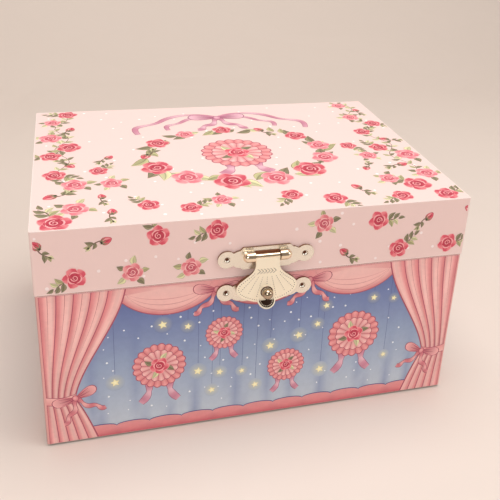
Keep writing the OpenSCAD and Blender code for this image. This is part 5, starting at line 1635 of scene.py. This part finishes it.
def make_dancer():
    """The figure: body, arms and head, joined smoothly and painted."""
    leg = [(0.35, 0), (0.75, 0.25), (0.95, 1.2), (1.02, 2.2), (0.78, 3.6), (0.95, 5.2), (1.28, 8.2),
           (1.20, 10.0), (0.95, 11.6), (1.22, 13.5), (1.62, 17.0), (2.0, 20.0), (2.25, 21.8)]
    torso = [(2.1, 20.6), (2.42, 21.6), (2.46, 22.6), (2.05, 24.4), (1.86, 25.4), (2.05, 27.0), (2.42, 29.0),
             (2.52, 30.4), (2.40, 31.3), (1.75, 32.0), (0.98, 32.7), (0.86, 33.6), (0.86, 36.0), (0.95, 36.6)]
    forms = [lathe(leg, 28, 0.92), lathe(torso, 32, 0.80)]
    for sign in (-1, 1):
        forms.append(ball((0.95 * sign, -1.15, 29.7), 1.12, 14))
        forms += arm(sign)
    head = ball((0, 0, 38.0), 2.75, 28, (0.90, 0.98, 1.10))
    nose = ball((0, -2.62, 37.75), 0.34, 12, (0.8, 1.0, 1.1))
    chin = ball((0, -1.2, 36.1), 1.1, 14, (1.0, 1.0, 0.8))
    figure = outward(join("dancer_figure", forms + [head, nose, chin]))
    remesh = figure.modifiers.new("join", "REMESH")
    remesh.mode = "VOXEL"
    remesh.voxel_size = 0.20 * MM
    apply_all(figure)
    soft = figure.modifiers.new("smooth", "SMOOTH")
    soft.iterations = 4
    soft.factor = 0.5
    apply_all(figure)
    skin, satin, stocking = range(3)
    for made in (FINISH["dancer"], bodice, tights):
        figure.data.materials.append(made)
    for face in figure.data.polygons:
        c = face.center / MM
        if c.z < 22.4:
            face.material_index = stocking if c.z > 3.4 else satin
        elif c.z < 31.0 - 0.35 * abs(c.x) and abs(c.x) < 2.75:
            face.material_index = satin
        else:
            face.material_index = skin
    for v in figure.data.vertices:
        v.co = lay_forward(v.co / MM) * MM
    smooth(figure, 80)
    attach(figure, "dancer")
    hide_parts("dancer")


def doll_part(name, forms, made):
    """Joins forms that were made on the upright figure and lays them where she lies."""
    obj = join(name, forms)
    for v in obj.data.vertices:
        v.co = lay_forward(v.co / MM) * MM
    outward(obj)
    obj.data.materials.append(made)
    smooth(obj, 70)
    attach(obj, "dancer")
    return obj


def make_head_dress():
    """Hair with a bun, a satin band, and the painted brows, eyes and lips."""
    cap = ball((0, 0.28, 38.35), 2.80, 28, (0.96, 1.0, 1.06))
    bun = ball((0, 1.7, 40.9), 1.35, 20, (1, 1, 0.9))
    hair = doll_part("dancer_hair", [cap, bun], doll_hair)
    pick(hair)
    bpy.ops.object.mode_set(mode="EDIT")
    bpy.ops.mesh.select_mode(type="FACE")
    bpy.ops.mesh.select_all(action="DESELECT")
    bpy.ops.object.mode_set(mode="OBJECT")
    for face in hair.data.polygons:
        c = face.center / MM
        up, back = TOE_Y - c.y, c.z - FOLD_Z
        over_face = back < -0.9 - 0.75 * (38.6 - up) * 0.4
        face.select = up < 39.6 and (over_face or up < 36.6)
    bpy.ops.object.mode_set(mode="EDIT")
    bpy.ops.mesh.delete(type="FACE")
    bpy.ops.object.mode_set(mode="OBJECT")
    bow = [(2.62 * math.cos(a) * 0.97, -0.55, 38.6 + 2.55 * math.sin(a))
           for a in (math.pi * i / 16 for i in range(17))]
    doll_part("dancer_hair_band", [tube(bow, [0.22] * 17, 10)], bodice)
    for side, sign in (("left", -1), ("right", 1)):
        eye = ball((0.92 * sign, -2.42, 38.25), 0.24, 12, (1.15, 0.5, 0.9))
        doll_part("dancer_eye_" + side, [eye], eye_paint)
        arch = [(s * sign, -2.50 + 0.10 * s, 38.95 + 0.14 * math.sin(math.pi * (s - 0.45) / 1.0)) for s in
                (0.45 + 0.2 * i for i in range(6))]
        doll_part("dancer_brow_" + side, [tube(arch, [0.03, 0.06, 0.07, 0.07, 0.05, 0.02], 8)], doll_hair)
    doll_part("dancer_lips", [ball((0, -2.48, 36.72), 0.30, 12, (1.3, 0.5, 0.55))], lip_paint)


make_dancer()
make_head_dress()

net = material("skirt net", (250, 170, 194), 0.75, mottle=(700.0, 0.10, 3000.0), bump=0.4, bump_size=0.00005,
               weave=22000.0, sheen=0.6)
net_light = material("skirt net light", (254, 204, 216), 0.75, mottle=(700.0, 0.08, 3000.0), bump=0.4,
                     bump_size=0.00005, weave=22000.0, sheen=0.6)


def tutu_layer(index, r0, r1, h0, h1, ruffles, swing, made):
    """One gathered ring of net, from radius r0 and height h0 at the waist to r1 and h1 at its hem. swing
    is how far its ruffles rise and fall there."""
    rings = 12
    phase = random.Random(100 + index).uniform(0, 6.28)

    def gathered(ring, angle):
        t = ring / rings
        wave = math.sin(ruffles * angle + phase + 0.8 * math.sin(3 * angle))
        r = r0 + (r1 - r0) * t + 0.35 * t * math.sin(2 * ruffles * angle)
        height = h0 + (h1 - h0) * t ** 1.3 + swing * t ** 1.2 * wave
        return lay_forward((r * math.cos(angle), r * math.sin(angle), height))

    layer = ring_form("tutu_layer_%d" % (index + 1), ruffles * 8, rings, gathered, capped=False)
    layer.data.flip_normals()
    layer.data.materials.append(made)
    smooth(layer, 80)
    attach(layer, "dancer")
    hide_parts("tutu")


tutu_layer(0, 2.3, 19.4, WAIST - 1.2, WAIST - 3.0, 24, 0.85, net)
tutu_layer(1, 2.3, 18.8, WAIST - 0.7, WAIST - 1.6, 26, 0.80, net_light)
tutu_layer(2, 2.3, 17.2, WAIST - 0.2, WAIST + 0.3, 22, 0.60, net)


def make_spring():
    """Close-wound wire that the shut lid bends through a quarter turn."""
    turns, per_turn = 14, 20
    bend, coil, wire = 14.0, 2.6, 0.38  # radii of the bend, the coil and the wire
    total = turns * per_turn

    def wound(ring, angle):
        u = 0.02 + 0.96 * ring / total  # share of the bend, a little short of both its ends
        c, s = math.cos(u * math.pi / 2), math.sin(u * math.pi / 2)
        outer, along = Vector((0, c, s)), Vector((0, -s, c))
        a = 2 * math.pi * ring / per_turn
        radial = outer * math.cos(a) + Vector((1, 0, 0)) * math.sin(a)
        middle = Vector((0, FOLD_Y + bend * c, SPRING_Z + bend * s))
        return middle + radial * (coil + wire * math.cos(angle)) + along * wire * math.sin(angle)

    spring = outward(ring_form("spring_coil", 10, total, wound))
    spring.data.materials.append(steel)
    smooth(spring, 70)
    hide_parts("dancer_spring")
    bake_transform(spring)


make_spring()
